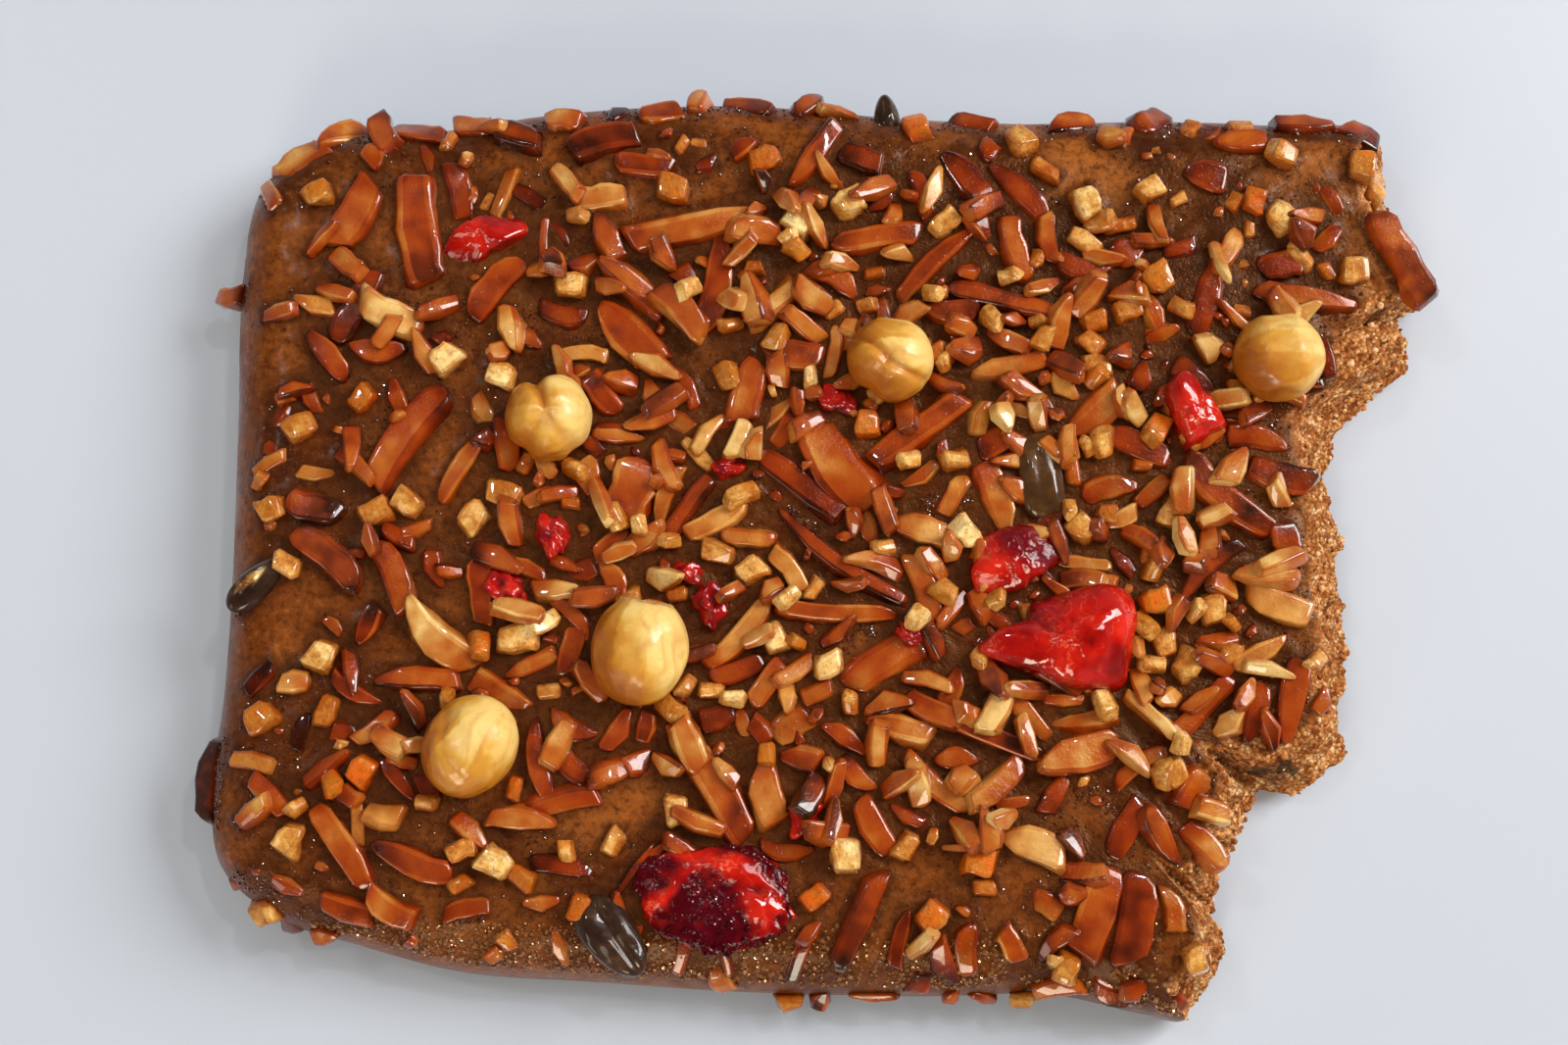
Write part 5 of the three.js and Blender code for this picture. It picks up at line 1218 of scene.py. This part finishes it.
def window(name, place, size, watts, colour):
    """A square soft light at a place, turned to face the slab."""
    light = bpy.data.lights.new(name, "AREA")
    light.size = size
    light.energy = watts
    light.color = colour
    lamp = bpy.data.objects.new(name, light)
    lamp.location = place
    aim = -np.array(place) / np.linalg.norm(place)
    lamp.rotation_euler = (math.acos(-aim[2]), 0, math.atan2(aim[1], aim[0]) - math.pi / 2)
    bpy.context.scene.collection.objects.link(lamp)
    return lamp


window("key_window", (1.8, 0.8, 1.5), size=1.2, watts=66, colour=(1.0, 0.98, 0.95))
window("ceiling_fill", (-0.2, 0.0, 1.9), size=2.4, watts=19, colour=(1.0, 0.99, 0.97)).visible_glossy = False
window("near_window", (-1.5, -1.3, 1.0), size=0.7, watts=5, colour=(1.0, 0.88, 0.72))
window("small_window", (0.9, 0.9, 2.2), size=0.1, watts=6, colour=(1.0, 1.0, 1.0))
window("left_lamp", (-0.9, 0.6, 1.8), size=0.1, watts=3, colour=(1.0, 1.0, 1.0))
window("near_lamp", (-0.3, -1.6, 1.0), size=0.6, watts=12, colour=(1.0, 0.88, 0.66))
world = bpy.data.worlds.new("room")
bpy.context.scene.world = world
world.use_nodes = True
tree = world.node_tree
where = add(tree, "ShaderNodeTexCoord").outputs["Generated"]
rise = add(tree, "ShaderNodeSeparateXYZ", {"Vector": where}).outputs["Z"]
sky = ramp(tree, rise, [
    (0.0, (0.29, 0.27, 0.28, 1)), (0.4, (0.17, 0.16, 0.16, 1)), (0.7, (0.01, 0.01, 0.01, 1)),
])
feed(tree, tree.nodes["Background"], {"Color": sky})

# The camera: a 50 mm view from 82 degrees above the near side, 7.5 pixels to the millimetre at the top.
LENS = 50
SENSOR = 36
PICTURE_WIDTH = 1600
PIXELS_PER_MM = 7.5
ELEVATION = math.radians(82)
DISTANCE = LENS / SENSOR * PICTURE_WIDTH / PIXELS_PER_MM * MM
TARGET = (np.array([-4.5, 3.7, 16.0]) - LAYOUT_MIDDLE) * MM
camera = bpy.data.objects.new("camera", bpy.data.cameras.new("camera"))
camera.data.lens = LENS
camera.data.sensor_width = SENSOR
camera.data.clip_start = 0.01
camera.location = TARGET + DISTANCE * np.array([0, -math.cos(ELEVATION), math.sin(ELEVATION)])
camera.rotation_euler = (math.pi / 2 - ELEVATION, 0, 0)
bpy.context.scene.collection.objects.link(camera)
bpy.context.scene.camera = camera
bpy.context.scene.view_settings.view_transform = "Standard"
